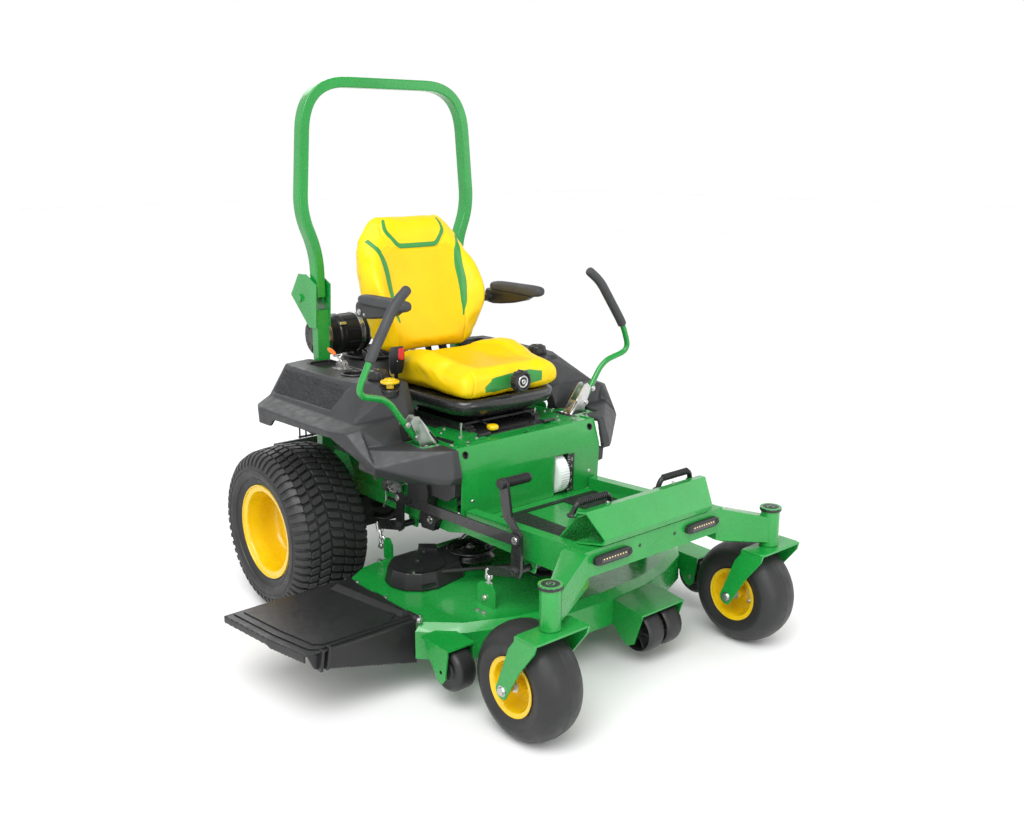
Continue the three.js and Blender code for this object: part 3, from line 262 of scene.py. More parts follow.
class Shape:
    """Faces gathered in millimetres, each with a material number."""

    def __init__(self):
        self.verts, self.faces, self.looks = [], [], []

    def add(self, verts, faces, look=0):
        start = len(self.verts)
        self.verts += [tuple(v) for v in verts]
        self.faces += [tuple(i + start for i in f) for f in faces]
        self.looks += [look] * len(faces)
        return self

    def rings(self, rings, look=0, closed=False, wrap=True, caps=True):
        """Skin over rings of the same number of points."""
        count = len(rings[0])
        verts = [p for ring in rings for p in ring]
        faces = []
        last = len(rings) if closed else len(rings) - 1
        for i in range(last):
            a, b = i * count, ((i + 1) % len(rings)) * count
            for j in range(count if wrap else count - 1):
                k = (j + 1) % count
                faces.append((a + j, a + k, b + k, b + j))
        if caps and not closed:
            faces.append(tuple(reversed(range(count))))
            faces.append(tuple(range((len(rings) - 1) * count, len(rings) * count)))
        return self.add(verts, faces, look)

    def turned(self, profile, axis, centre, n=48, look=0, ring=False):
        """Profile of (radius, along) turned about an axis. With ring, the profile closes on itself."""
        along, u, v = AXES[axis]
        c = Vector(centre)
        rings = []
        for r, a in profile:
            rings.append(circle(c + along * a, u, v, max(r, 0.01), n))
        return self.rings(rings, look, closed=ring, caps=not ring)

    def rod(self, a, b, radius, n=16, look=0):
        """Round bar from a to b, with slightly broken ends."""
        a, b = Vector(a), Vector(b)
        t = (b - a).normalized()
        e = min(1.0, radius * 0.2)
        u = t.orthogonal().normalized()
        v = t.cross(u)
        rings = []
        for c, r in ((a, radius - e), (a + t * e, radius), (b - t * e, radius), (b, radius - e)):
            rings.append(circle(c, u, v, r, n))
        return self.rings(rings, look)

    def tube(self, path, radius, n=16, look=0, closed=False, flat=1.0):
        """Round bar along a path. radius is a number or one for each point."""
        points = [Vector(p) for p in path]
        radii = radius if isinstance(radius, (list, tuple)) else [radius] * len(points)
        rings, u = [], None
        for i, p in enumerate(points):
            before = points[i - 1] if i or closed else p
            after = points[(i + 1) % len(points)] if i < len(points) - 1 or closed else p
            t = (after - before).normalized()
            u = (t.orthogonal() if u is None else u - t * u.dot(t)).normalized()
            w = t.cross(u)
            rings.append([p + (u * math.cos(q) + w * math.sin(q) * flat) * radii[i] for q in turn(n)])
        return self.rings(rings, look, closed=closed)

    def plate(self, outline, axis, low, high, look=0):
        """Flat outline raised along an axis. Its two numbers are the other two axes in x, y, z order."""
        order = {"x": lambda p, h: (h, p[0], p[1]), "y": lambda p, h: (p[0], h, p[1]), "z": lambda p,
                 h: (p[0], p[1], h)}[axis]
        return self.rings([[order(p, h) for p in outline] for h in (low, high)], look)

    def block(self, x, y, z, look=0):
        return self.plate([(x[0], y[0]), (x[1], y[0]), (x[1], y[1]), (x[0], y[1])], "z", z[0], z[1], look)

    def bolt(self, centre, axis, r=8.0, h=6.0, look=0, sides=6, washer=True):
        """Hexagon head on a washer, standing along axis from centre."""
        t = Vector(axis).normalized()
        u = t.orthogonal().normalized()
        v = t.cross(u)
        c = Vector(centre)

        def ring(radius, height, n):
            return circle(c + t * height, u, v, radius, n)
        if washer:
            self.rings([ring(r * 1.35, -0.5, 20), ring(r * 1.35, 1.4, 20)], look)
        self.rings([ring(r, 1.0, sides), ring(r, h - 1, sides), ring(r * 0.82, h, sides)], look)
        return self


def rounded_path(points, radii, steps=6):
    """A path whose inner corners are rounded."""
    pts = [Vector(p) for p in points]
    radii = radii if isinstance(radii, (list, tuple)) else [radii] * (len(pts) - 2)
    out = [pts[0]]
    for i in range(1, len(pts) - 1):
        into, away = pts[i - 1] - pts[i], pts[i + 1] - pts[i]
        reach = min(radii[i - 1], into.length * 0.46, away.length * 0.46)
        a, b = pts[i] + into.normalized() * reach, pts[i] + away.normalized() * reach
        for k in range(steps + 1):
            t = k / steps
            out.append(a * (1 - t) ** 2 + pts[i] * 2 * t * (1 - t) + b * t * t)
    out.append(pts[-1])
    return out


def make(name, shape, body, looks, bevel=0.0, angle=38.0, subdiv=0, replaces=()):
    """The piece as an object that rides on a body."""
    mesh = bpy.data.meshes.new(name)
    bm = bmesh.new()
    verts = [bm.verts.new(at(*v)) for v in shape.verts]
    for f, look in zip(shape.faces, shape.looks):
        if len(set(f)) < 3:
            continue
        try:
            face = bm.faces.new([verts[i] for i in f])
        except ValueError:
            continue
        face.material_index = look
    bmesh.ops.remove_doubles(bm, verts=bm.verts, dist=2e-5)
    tidy_bmesh(bm, bevel)
    bm.to_mesh(mesh)
    bm.free()
    return dress(bpy.data.objects.new(name, mesh), body, looks, angle, subdiv, replaces)


def tidy_bmesh(bm, bevel):
    """Even normals outward and break the sharp edges by bevel millimetres."""
    bmesh.ops.dissolve_degenerate(bm, dist=1e-6, edges=bm.edges)
    bmesh.ops.recalc_face_normals(bm, faces=bm.faces)
    if bevel:
        sharp = [e for e in bm.edges if len(e.link_faces) == 2 and e.calc_face_angle(0) > math.radians(26)]
        bmesh.ops.bevel(bm, geom=sharp, offset=bevel / 1000, segments=2, profile=0.6, affect="EDGES",
                        clamp_overlap=True)


def dress(obj, body, looks, angle=38.0, subdiv=0, replaces=()):
    """Smooth shading, materials, body and the CAD nodes that it stands for."""
    mesh = obj.data
    if obj.name not in bpy.context.scene.collection.objects:
        bpy.context.scene.collection.objects.link(obj)
    for look in looks:
        mesh.materials.append(look)
    for polygon in mesh.polygons:
        polygon.use_smooth = True
    mesh.set_sharp_from_angle(angle=math.radians(angle))
    if subdiv:
        obj.modifiers.new("round", "SUBSURF").levels = subdiv
        obj.modifiers["round"].render_levels = subdiv
    weighted = obj.modifiers.new("even", "WEIGHTED_NORMAL")
    weighted.keep_sharp = True
    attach(obj, body)
    if replaces:
        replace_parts(obj, *replaces)
    return obj


def polish(node, looks, bevel=1.5):
    """A CAD node's own shape with broken edges, standing for the node."""
    source = NODES[node]
    mesh = bpy.data.meshes.new(node + "_fine")
    bm = bmesh.new()
    bm.from_mesh(source.data)
    bmesh.ops.remove_doubles(bm, verts=bm.verts, dist=2e-5)
    bmesh.ops.dissolve_limit(bm, angle_limit=math.radians(0.8), verts=bm.verts, edges=bm.edges)
    tidy_bmesh(bm, bevel)
    for f in bm.faces:
        f.material_index = 0
    bm.to_mesh(mesh)
    bm.free()
    return dress(bpy.data.objects.new(mesh.name, mesh), BODY_OF[node], looks, replaces=(node,))


# ------------------------------------------------------------------ camera, floor and light
def studio():
    camera = bpy.data.cameras.new("camera")
    camera.sensor_width = SENSOR_MM
    camera.lens = LENS_MM
    camera.shift_y = 0.0045
    camera.clip_end = 100
    holder = bpy.data.objects.new("camera", camera)
    bpy.context.scene.collection.objects.link(holder)
    holder.matrix_world = Vector(CAMERA_LOOK).normalized().to_track_quat("-Z", "Y").to_matrix().to_4x4()
    holder.location = at(*CAMERA_PLACE)
    bpy.context.scene.camera = holder

    floor = bpy.data.objects.new("floor", bpy.data.meshes.new("floor"))
    bm = bmesh.new()
    bmesh.ops.create_grid(bm, x_segments=2, y_segments=2, size=30)
    bm.to_mesh(floor.data)
    bm.free()
    n = Nodes("floor")
    n.link(n.mix(n.noise(1.5), (0.88, 0.88, 0.88), (0.93, 0.93, 0.93)), n.shader.inputs["Base Color"])
    n.shader.inputs["Roughness"].default_value = 0.75
    floor.data.materials.append(n.material)
    floor.location.z = -0.0005
    bpy.context.scene.collection.objects.link(floor)

    bpy.context.scene.view_settings.view_transform = "Standard"
    world = bpy.data.worlds.new("studio")
    bpy.context.scene.world = world
    world.use_nodes = True
    # Bright all round and dimmer overhead.
    tree = world.node_tree
    background = tree.nodes["Background"]
    place, parts, ramp = (tree.nodes.new("ShaderNode" + kind)
                          for kind in ("TexCoord", "SeparateXYZ", "ValToRGB"))
    tree.links.new(place.outputs["Generated"], parts.inputs[0])
    tree.links.new(parts.outputs["Z"], ramp.inputs[0])
    tree.links.new(ramp.outputs[0], background.inputs["Color"])
    ramp.color_ramp.elements[0].position, ramp.color_ramp.elements[0].color = 0.30, (1.0, 1.0, 1.0, 1.0)
    ramp.color_ramp.elements[1].position, ramp.color_ramp.elements[1].color = 0.75, (0.34, 0.34, 0.34, 1.0)
    background.inputs["Strength"].default_value = 1.0

    sun = bpy.data.lights.new("sun", "SUN")
    sun.energy, sun.angle = 2.25, math.radians(50)
    sky = bpy.data.objects.new("sun", sun)
    sky.rotation_euler = Vector((0.42, 0.36, -0.84)).to_track_quat("-Z", "Y").to_euler()
    bpy.context.scene.collection.objects.link(sky)

    for name, place, size, power in (("key", (-2600, -2600, 3600), 2.0, 45),
                                     ("fill", (3200, -2600, 2300), 2.6, 18),
                                     ("rear", (600, 3200, 3200), 2.6, 40),
                                     ("front_low", (-600, -4200, 900), 1.6, 14)):
        light = bpy.data.lights.new(name, "AREA")
        light.shape = "DISK"
        light.size = size
        light.energy = power
        lamp = bpy.data.objects.new(name, light)
        lamp.location = at(*place)
        lamp.rotation_euler = (at(0, -300, 600) - lamp.location).to_track_quat("-Z", "Y").to_euler()
        bpy.context.scene.collection.objects.link(lamp)


studio()


# ------------------------------------------------------------------ wheels
def tread_radius(a):
    """Radius of the casing under the tread at distance a from the middle of a rear tyre."""
    t = abs(a) / 122
    return 293.5 - 10.5 * t * t


def rear_tyre(side, s):
    cx, cz = REAR_X * s, REAR_Z
    shape = Shape()
    outside = [(176, 118), (178, 126), (186, 131), (192, 131.5), (196, 134), (206, 143), (222, 148.5),
               (240, 147.5), (258, 141), (272, 133), (283, 122)]
    crown = [(tread_radius(a), a) for a in (104, 78, 40, 0)]
    upper = outside + crown
    profile = upper + [(r, -a) for r, a in reversed(upper[:-1])]
    inside = [(176, -104), (250, -126), (274, -96), (282, 0), (274, 96), (250, 126), (176, 104)]
    shape.turned(profile + inside, "x", (cx, 0, cz), 120, ring=True)

    def point(r, a, angle):
        q = math.radians(angle)
        return (cx + a, r * math.cos(q), cz + r * math.sin(q))

    def lug(a0, a1, t0, t1, skew):
        """A rounded block between two widths and two turns. skew turns its far edge."""
        corners = []
        for a, t, c in ((a0, t0, 0), (a1, t0, 1), (a1, t1, 1), (a0, t1, 0)):
            corners.append((a, t + skew * c))
        rings = []
        mid_a = sum(c[0] for c in corners) / 4
        mid_t = sum(c[1] for c in corners) / 4
        for grow, lift in ((1.0, -LUG_BASE), (0.97, LUG_HEIGHT - 2.2), (0.86, LUG_HEIGHT)):
            ring = []
            for i, (a, t) in enumerate(corners):
                before, after = corners[i - 1], corners[(i + 1) % 4]
                for other in (before, after):
                    pa, pt = a + (other[0] - a) * 0.16, t + (other[1] - t) * 0.16
                    pa, pt = mid_a + (pa - mid_a) * grow, mid_t + (pt - mid_t) * grow
                    ring.append(point(tread_radius(pa) + lift, pa, pt))
            rings.append(ring)
        shape.rings(rings)

    step = 360 / PITCHES
    for k in range(PITCHES):
        t = k * step
        for row, (a0, a1) in enumerate(((-24, 24), (29, 68), (73, 106), (-68, -29), (-106, -73))):
            shift = (row % 2) * step / 2
            skew = (2.4, 2.6, 1.8, -2.6, -1.8)[row]
            lug(a0, a1, t + shift + step * 0.08, t + shift + step * 0.82, skew)
        for sign in (1, -1):
            shift = step * 0.25 * sign
            t0, t1 = t + shift + step * 0.14, t + shift + step * 0.78
            rows = [(108, 293.5 - 10.5 * (108 / 122) ** 2 + 10, 0.0), (128, 286, 0.04), (141, 270, 0.10),
                    (147.5, 252, 0.18)]
            rings = []
            for a, r, pinch in rows:
                span = (t1 - t0) * pinch
                rings.append([point(r, a * sign, t0 + span), point(r, a * sign, t1 - span),
                              point(r - 14, (a - 10) * sign, t1 - span * 0.5),
                              point(r - 14, (a - 10) * sign, t0 + span * 0.5)])
            shape.rings(rings)
    for r, proud in ((236, 0.8), (203, 0.9)):
        for sign in (1, -1):
            a = (149.0 if r == 236 else 142.0) * sign
            shape.turned([(r - 2.5, a - 3 * sign), (r - 1, a + proud * sign), (r + 1, a + proud * sign),
                          (r + 2.5, a - 3 * sign)], "x", (cx, 0, cz), 96, ring=True)
    make("rear_tyre_fine_" + side, shape, "rear_wheel_" + side, [TYRE], angle=42,
         replaces=("rear_tyre_" + side,))


def rear_rim(side, s):
    cx, cz = REAR_X * s, REAR_Z
    shape = Shape()
    face = [(175, 129.5), (176.5, 124), (174, 120.5), (156, 119), (152, 112), (151, -112), (156, -119),
            (174, -120.5), (176.5, -124), (175, -129.5),
            (171.5, -129.5), (170, -125), (150, -122), (146, -112), (144, -16), (138, -8), (110, -6), (96, -2),
            (78, -4), (0, -4)]
    front = [(0, 2), (38, 2), (44, 5), (78, 4), (84, 8), (98, 11), (112, 6), (132, 5), (139, 12), (143, 26),
             (145, 50), (141, 58), (141, 84), (146, 92),
             (147, 112), (151, 122), (170, 125), (171.5, 129.5)]
    flipped = [(r, a * s) for r, a in face + front]
    shape.turned(flipped, "x", (cx, 0, cz), 96, ring=True)
    for k in range(5):
        q = 2 * math.pi * (k + 0.5) / 5
        c = (cx + 4 * s, 58 * math.cos(q), cz + 58 * math.sin(q))
        shape.bolt(c, (s, 0, 0), 12, 13, look=1)
    shape.turned([(0, 2 * s), (34, 2 * s), (34, 16 * s), (30, 20 * s), (0, 21 * s)], "x", (cx, 0, cz), 40,
                 look=2)
    q = math.radians(128)
    valve = Vector((cx + 70 * s, 142 * math.cos(q), cz + 142 * math.sin(q)))
    inward = Vector((0.55 * s, -math.cos(q), -math.sin(q))).normalized()
    shape.tube([valve - inward * 6, valve + inward * 12, valve + inward * 34], [7.5, 5.5, 4.6], 14, look=3)
    shape.rod(valve + inward * 30, valve + inward * 42, 5.2, 12, look=3)
    make("rear_rim_fine_" + side, shape, "rear_wheel_" + side, [YELLOW_PAINT, ZINC, BLACK_PAINT, RUBBER],
         angle=44, replaces=("rear_rim_" + side,))


def caster_wheel(side, s):
    cx, cy, cz = c = (CASTER_X * s, CASTER_Y, CASTER_Z)
    shape = Shape()
    wall = [(81, 64), (88, 69), (97, 70.5), (101, 72.5), (112, 78), (124, 80), (128, 80.6), (131, 79.6),
            (142, 76.5), (154, 68.5), (164, 57), (171.5, 43), (175.5, 28), (177.2, 14), (177.6, 3),
            (178.3, 1.4)]
    profile = wall + [(r, -a) for r, a in reversed(wall)]
    inside = [(81, -54), (140, -60), (166, -28), (166, 28), (140, 60), (81, 54)]
    shape.turned(profile + inside, "x", c, 112, ring=True)
    make("caster_tyre_fine_" + side, shape, "caster_wheel_" + side, [TYRE], angle=50,
         replaces=("caster_tyre_" + side,))
    rim = Shape()
    # The dish is drawn from the hub out to the rolled flange, then back over the bead seat.
    half = [(0, 57), (17, 57), (19, 55), (20, 30), (23, 20), (34, 14), (52, 11), (64, 14), (70, 24), (73, 40),
            (74, 62), (78, 70), (88, 71.5), (90.5, 74),
            (91.5, 73.2), (91, 70.5), (88, 69), (80, 67.5), (76, 66), (79, 63.5), (81, 58)]
    rim.turned(half + [(r, -a) for r, a in reversed(half)], "x", c, 88, ring=True)
    for sign in (1, -1):
        rim.turned([(12.5, 57 * sign), (19, 57.4 * sign), (19, 59 * sign), (12.5, 59.4 * sign)], "x", c, 32,
                   look=1, ring=True)
        for k in range(4):
            q = 2 * math.pi * (k + 0.5) / 4
            rim.bolt((cx + 12.0 * sign, cy + 44 * math.cos(q), cz + 44 * math.sin(q)), (sign, 0, 0), 6.5, 7,
                     look=1)
    make("caster_rim_fine_" + side, rim, "caster_wheel_" + side, [YELLOW_PAINT, ZINC], angle=40,
         replaces=("caster_rim_" + side,))


def caster_fork(side, s):
    body = "caster_fork_" + side
    shape = Shape()
    px, py = CASTER_X * s, SWIVEL_Y
    # Bent strap: a roof plate and two leg plates, each leg an outline raised across its thickness.
    axle = (CASTER_Y, CASTER_Z)

    def leg(x0, x1):
        outline = [(-1434, 366), (-1346, 366), (-1344, 350),
                   (-1322, 322)] + [(axle[0] + 27 * math.cos(math.radians(q)),
                                     axle[1] + 27 * math.sin(math.radians(q)))
                                     for q in range(38, -120, -14)] + [(-1368, 262), (-1428, 340)]
        shape.plate(outline, "x", x0, x1)
    leg(px - 104, px - 96)
    leg(px + 96, px + 104)
    shape.plate([(px - 92, -1434), (px + 92, -1434), (px + 104, -1424), (px + 104, -1350), (px + 92, -1346),
                 (px - 92, -1346), (px - 104, -1350), (px - 104, -1424)], "z", 360.5, 368.5)
    make("caster_fork_fine_" + side, shape, body, [GREEN], bevel=2.2,
         replaces=("caster_fork_" + side,))
    metal = Shape()
    for sign in (1, -1):
        metal.bolt((px + 104 * sign, axle[0], axle[1]), (sign, 0, 0), 12.5, 9)
    metal.rod((px - 98, *axle), (px - 60, *axle), 11.5, 24)
    metal.rod((px + 60, *axle), (px + 98, *axle), 11.5, 24)
    metal.rod((px, py, 366), (px, py, 372.5), 26, 32)
    metal.rod((px, py, 366), (px, py, 470), 15.5, 24)
    make("caster_axle_" + side, metal, body, [ZINC], bevel=0.0)
    post = Shape()
    post.turned([(18.5, 370), (31.6, 370), (32.4, 372), (32.4, 377), (31.3, 379), (31.3, 490), (18.5, 490)],
                "z", (px, py, 0), 64, ring=True)
    make("caster_post_" + side, post, "frame", [GREEN], angle=40)
    cap = Shape()
    cap.turned([(20, 489), (35.5, 492), (36.6, 495), (36.6, 499), (35, 502), (26, 504.2), (13, 504.2),
                (12, 502.6), (0, 502.6)], "z", (px, py, 0), 56)
    cap.turned([(0, 501.5), (8.5, 501.5), (8.5, 506), (6.4, 508), (0, 508)], "z", (px, py, 0), 6, look=1)
    make("caster_cap_" + side, cap, "frame", [BLACK_PLASTIC, BLACK_PAINT], angle=30)


for side_name, sign_x in SIDES:
    rear_tyre(side_name, sign_x)
    rear_rim(side_name, sign_x)
    caster_wheel(side_name, sign_x)
    caster_fork(side_name, sign_x)


# ------------------------------------------------------------------ roll bar
def roll_bar():
    y0, y1 = 77.0, 127.0
    leg = [(325, 0, 1132), (327, 0, 1296), (386, 0, 1443), (351, 0, 1905.5)]
    corners = leg + [(-x, y, z) for x, y, z in reversed(leg)]
    path = rounded_path(corners, [70, 70, 172, 172, 70, 70], 12)
    rings = []
    for i, p in enumerate(path):
        before, after = path[max(i - 1, 0)], path[min(i + 1, len(path) - 1)]
        t = (after - before).normalized()
        n = Vector((t.z, 0, -t.x))
        ring = []
        w, d, r = 19.0, (y1 - y0) / 2, 6.0
        for cu, cv, start in ((w - r, d - r, 0), (-(w - r), d - r, 90), (-(w - r), -(d - r), 180),
                              (w - r, -(d - r), 270)):
            for k in range(4):
                q = math.radians(start + 30 * k)
                ring.append(p + n * (cu + r * math.cos(q)) + Vector((0, (y0 + y1) / 2 + cv + r * math.sin(q),
                                                                     0)))
        rings.append(ring)
    shape = Shape().rings(rings)
    for s in (1, -1):
        for x0, x1 in ((301, 309), (341, 349)):
            shape.plate([(100, 1104), (160, 1098), (200, 1104), (204, 1140), (150, 1178), (100, 1178)], "x",
                        *span(x0 * s, x1 * s))
    make("roll_bar_hoop", shape, "rops", [GREEN], bevel=0.8, angle=34, replaces=("rops_hoop",))


roll_bar()


# ------------------------------------------------------------------ seat
def smoothstep(a, b, t):
    k = min(max((t - a) / (b - a), 0.0), 1.0)
    return k * k * (3 - 2 * k)


def power(value, exponent):
    return math.copysign(abs(value) ** exponent, value)


def lerp_table(table, t):
    for (t0, v0), (t1, v1) in zip(table, table[1:]):
        if t <= t1:
            k = max(0.0, (t - t0) / (t1 - t0))
            k = k * k * (3 - 2 * k) * 0.5 + k * 0.5
            return v0 + (v1 - v0) * k
    return table[-1][1]


def soft_pad(name, shape, body, look_list, cap, voxel=0.006, frames=20, pressure=4.0):
    """A closed form puffed as cloth by inner pressure, no point moving more than cap millimetres."""
    mesh = bpy.data.meshes.new(name)
    bm = bmesh.new()
    verts = [bm.verts.new(at(*v)) for v in shape.verts]
    for f in shape.faces:
        if len(set(f)) > 2:
            bm.faces.new([verts[i] for i in f])
    bmesh.ops.remove_doubles(bm, verts=bm.verts, dist=2e-5)
    bmesh.ops.recalc_face_normals(bm, faces=bm.faces)
    bm.to_mesh(mesh)
    bm.free()
    obj = bpy.data.objects.new(name, mesh)
    bpy.context.scene.collection.objects.link(obj)
    remesh = obj.modifiers.new("voxels", "REMESH")
    remesh.mode = "VOXEL"
    remesh.voxel_size = voxel
    apply_modifiers(obj)
    start = np.array([v.co for v in obj.data.vertices])
    cloth = obj.modifiers.new("cloth", "CLOTH")
    settings = cloth.settings
    settings.quality = 5
    settings.mass = 0.3
    settings.use_pressure = True
    settings.uniform_pressure_force = pressure
    settings.tension_stiffness = settings.compression_stiffness = 12
    settings.shear_stiffness = 6
    settings.bending_stiffness = 1.5
    settings.effector_weights.gravity = 0
    cloth.collision_settings.use_collision = False
    cloth.point_cache.frame_start, cloth.point_cache.frame_end = 1, frames
    scene = bpy.context.scene
    scene.frame_start, scene.frame_end = 1, frames
    for frame_number in range(1, frames + 1):
        scene.frame_set(frame_number)
    apply_modifiers(obj)
    scene.frame_set(1)
    end = np.array([v.co for v in obj.data.vertices])
    move = end - start
    length = np.linalg.norm(move, axis=1, keepdims=True)
    limit = cap / 1000
    move *= np.where(length > 1e-9, limit * np.tanh(length / limit) / np.maximum(length, 1e-9), 0)
    obj.data.vertices.foreach_set("co", (start + move).ravel())
    smooth = obj.modifiers.new("smooth", "SMOOTH")
    smooth.iterations = 6
    smooth.factor = 0.6
    divide = obj.modifiers.new("divide", "SUBSURF")
    divide.levels = 1
    apply_modifiers(obj)
    for look in look_list:
        obj.data.materials.append(look)
    for p in obj.data.polygons:
        p.use_smooth = True
    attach(obj, body)
    return obj


def apply_modifiers(obj):
    """The object's mesh as its modifiers leave it."""
    graph = bpy.context.evaluated_depsgraph_get()
    graph.update()
    done = bpy.data.meshes.new_from_object(obj.evaluated_get(graph))
    obj.modifiers.clear()
    old = obj.data
    obj.data = done
    bpy.data.meshes.remove(old)


def groove(obj, curves, facing, depth=2.6, width=4.5):
    """Press seams into the side of a pad that faces along facing. Curves are lists of points in millimetres."""
    segments = []
    for curve in curves:
        points = [at(*p) for p in curve]
        segments += list(zip(points, points[1:]))
    a = np.array([s[0] for s in segments])
    b = np.array([s[1] for s in segments])
    mesh = obj.data
    co = np.array([v.co for v in mesh.vertices])
    normals = np.array([v.normal for v in mesh.vertices])
    look = np.array(facing, float)
    look /= np.linalg.norm(look)
    keep = normals @ look > 0.15
    # Distances are taken across the facing direction, so that a seam lies on the surface wherever that is.
    p, a, b = (v - np.outer(v @ look, look) for v in (co, a, b))
    best = np.full(len(co), 1e9)
    for s, e in zip(a, b):
        d = e - s
        t = np.clip(((p - s) @ d) / max(d @ d, 1e-12), 0, 1)
        best = np.minimum(best, np.linalg.norm(p - (s + t[:, None] * d), axis=1))
    dip = np.exp(-(best * 1000 / width) ** 2) * depth / 1000
    lift = np.exp(-((best * 1000 - width * 2.4) / (width * 1.4)) ** 2) * depth * 0.18 / 1000
    co[keep] -= normals[keep] * (dip - lift)[keep, None]
    mesh.vertices.foreach_set("co", co.ravel())
    mesh.update()


def surface_strip(name, target, path, widths, facing, body, looks, proud=1.1, sink=3.0):
    """A band of even thickness laid on a pad along a path, seen from facing."""
    graph = bpy.context.evaluated_depsgraph_get()
    graph.update()
    toward = -Vector(facing).normalized()

    def drop(p):
        start = at(*p) - toward * 0.25
        hit, place, normal, _ = target.ray_cast(start, toward, distance=0.6)
        return (place, normal) if hit else (None, None)
    rings = []
    pts = [Vector(p) for p in path]
    for i, p in enumerate(pts):
        t = (pts[min(i + 1, len(pts) - 1)] - pts[max(i - 1, 0)]).normalized()
        across = t.cross(-toward).normalized()
        half = (widths[i] if isinstance(widths, (list, tuple)) else widths) / 2
        ring = []
        for u, h in ((-1.0, -sink), (-1.0, proud * 0.35), (-0.9, proud), (-0.5, proud), (0, proud),
                     (0.5, proud), (0.9, proud), (1.0, proud * 0.35), (1.0, -sink), (0.5, -sink), (0, -sink),
                     (-0.5, -sink)):
            place, normal = drop(p + across * half * u)
            if place is None:
                ring = None
                break
            ring.append((place + normal * h / 1000 - ORIGIN) * 1000)
        if ring:
            rings.append(ring)
    if len(rings) < 2:
        return None
    return make(name, Shape().rings(rings), body, looks, angle=50)


LEAN = math.radians(16)


def back_point(x, depth, up):
    """A place on the seat back: depth behind its front face, up along its lean."""
    return (x, -196 + depth * math.cos(LEAN) + up * math.sin(LEAN),
            938 - depth * math.sin(LEAN) + up * math.cos(LEAN))


def back_plane(p):
    """How far across and how far up the lean a place on the seat back is."""
    return p.x, (p.y + 196) * math.sin(LEAN) + (p.z - 938) * math.cos(LEAN)


BACK_FACING = (0, -math.cos(LEAN), math.sin(LEAN))


def seat_back():
    half_width = [(0, 178), (30, 222), (80, 247), (160, 258), (240, 262), (320, 260), (390, 250), (440, 234),
                  (480, 206),
                  (510, 180), (528, 160)]
    thick = [(0, 88), (120, 100), (300, 92), (430, 76), (528, 66)]
    rings = []
    top, edge = 528.0, 34.0
    stations = [edge * (1 - math.cos(q)) for q in np.linspace(0.12, math.pi / 2, 8)]
    stations += list(np.linspace(edge, top - edge, 26))[1:-1]
    stations += [top - edge * (1 - math.cos(q)) for q in np.linspace(math.pi / 2, 0.12, 8)]
    for up in stations:
        near = min(up, top - up)
        pinch = math.sqrt(max(0.0, 1 - (1 - min(near / edge, 1.0)) ** 2))
        w = lerp_table(half_width, up) - 4 - 16 * (1 - pinch)
        t = (lerp_table(thick, up) - 8) * (0.18 + 0.82 * pinch)
        mid = 50 - 4 * (1 - pinch)
        ring = []
        for q in turn(72):
            x = w * power(math.cos(q), 0.62)
            d = mid + t / 2 * power(math.sin(q), 0.72)
            if math.sin(q) < 0:
                u = abs(x) / w
                bolster = math.exp(-((u - 0.90) / 0.17) ** 2) * 86 * smoothstep(510, 200,
                                                                                up) * smoothstep(0, 200, up)
                hollow = 12 * (1 - min(u / 0.62, 1) ** 2) * (0.4 + 0.6 * math.sin(math.pi * min(up / 420, 1)))
                head = -9 * math.exp(-((up - 450) / 55) ** 2) * math.exp(-(u / 0.7) ** 4)
                d += (hollow + head - bolster) * pinch * min(1, -math.sin(q) * 1.6)
            ring.append(back_point(x, d, up))
        rings.append(ring)
    pad = soft_pad("seat_back_pad", Shape().rings(rings), "seat", [VINYL, VINYL_INSERT], cap=14)
    insert = [(152, 20), (158, 90), (160, 200), (172, 300), (166, 376), (126, 394)]
    panel = [(-110, 518), (-128, 486), (-132, 452), (-86, 396), (86, 396), (132, 452), (128, 486), (110, 518)]
    inside = insert + [(-x, up) for x, up in reversed(insert)]
    curves = [[back_point(x, 40, up) for x, up in insert], [back_point(-x, 40, up) for x, up in insert],
              [back_point(x * 1.12, 40, up - 12) for x, up in panel[1:-1]]]
    groove(pad, curves, BACK_FACING)
    paint_region(pad, inside, back_plane, BACK_FACING)
    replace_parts(pad, "seat_back")
    band = rounded_path([back_point(x, 0, up) for x, up in panel], 16, 5)
    surface_strip("seat_head_band", pad, band, [6 + 12 * math.sin(math.pi * k / (len(band) - 1)) ** 0.6
                                                for k in range(len(band))], BACK_FACING, "seat", [VINYL_GREEN])
    for side, s in SIDES:
        line = rounded_path([back_point(x * s, 0, up) for x,
                             up in ((206, 428), (178, 376), (166, 316), (168, 236), (158, 150), (148, 112))],
                             30, 6)
        n = len(line) - 1
        surface_strip("seat_stripe_" + side, pad, line,
                      [4 + 26 * math.sin(math.pi * (0.10 + 0.88 * k / n)) ** 0.8 for k in range(n + 1)],
                      BACK_FACING, "seat", [VINYL_GREEN])
    shell = Shape()
    rings = []
    for up, w, d0, d1 in ((20, 120, 88, 96), (40, 150, 80, 110), (120, 190, 88, 116), (260, 196, 86, 112),
                          (380, 160, 80, 100), (440, 120, 76, 92), (456, 96, 76, 88)):
        rings.append([back_point(w * power(math.cos(q), 0.6),
                                 (d0 + d1) / 2 + (d1 - d0) / 2 * power(math.sin(q), 0.8) * 0.9, up)
                                 for q in turn(40)])
    shell.rings(rings)
    for s in (1, -1):
        shell.plate([(-150, 862), (-104, 862), (10, 1100), (-6, 1112), (-40, 1108)], "x",
                    *span(96 * s, 104 * s))
        shell.bolt((104 * s, -8, 1090), (s, 0, 0), 8, 7, look=1)
    make("seat_back_shell", shell, "seat", [BLACK_PLASTIC, ZINC], bevel=1.2)


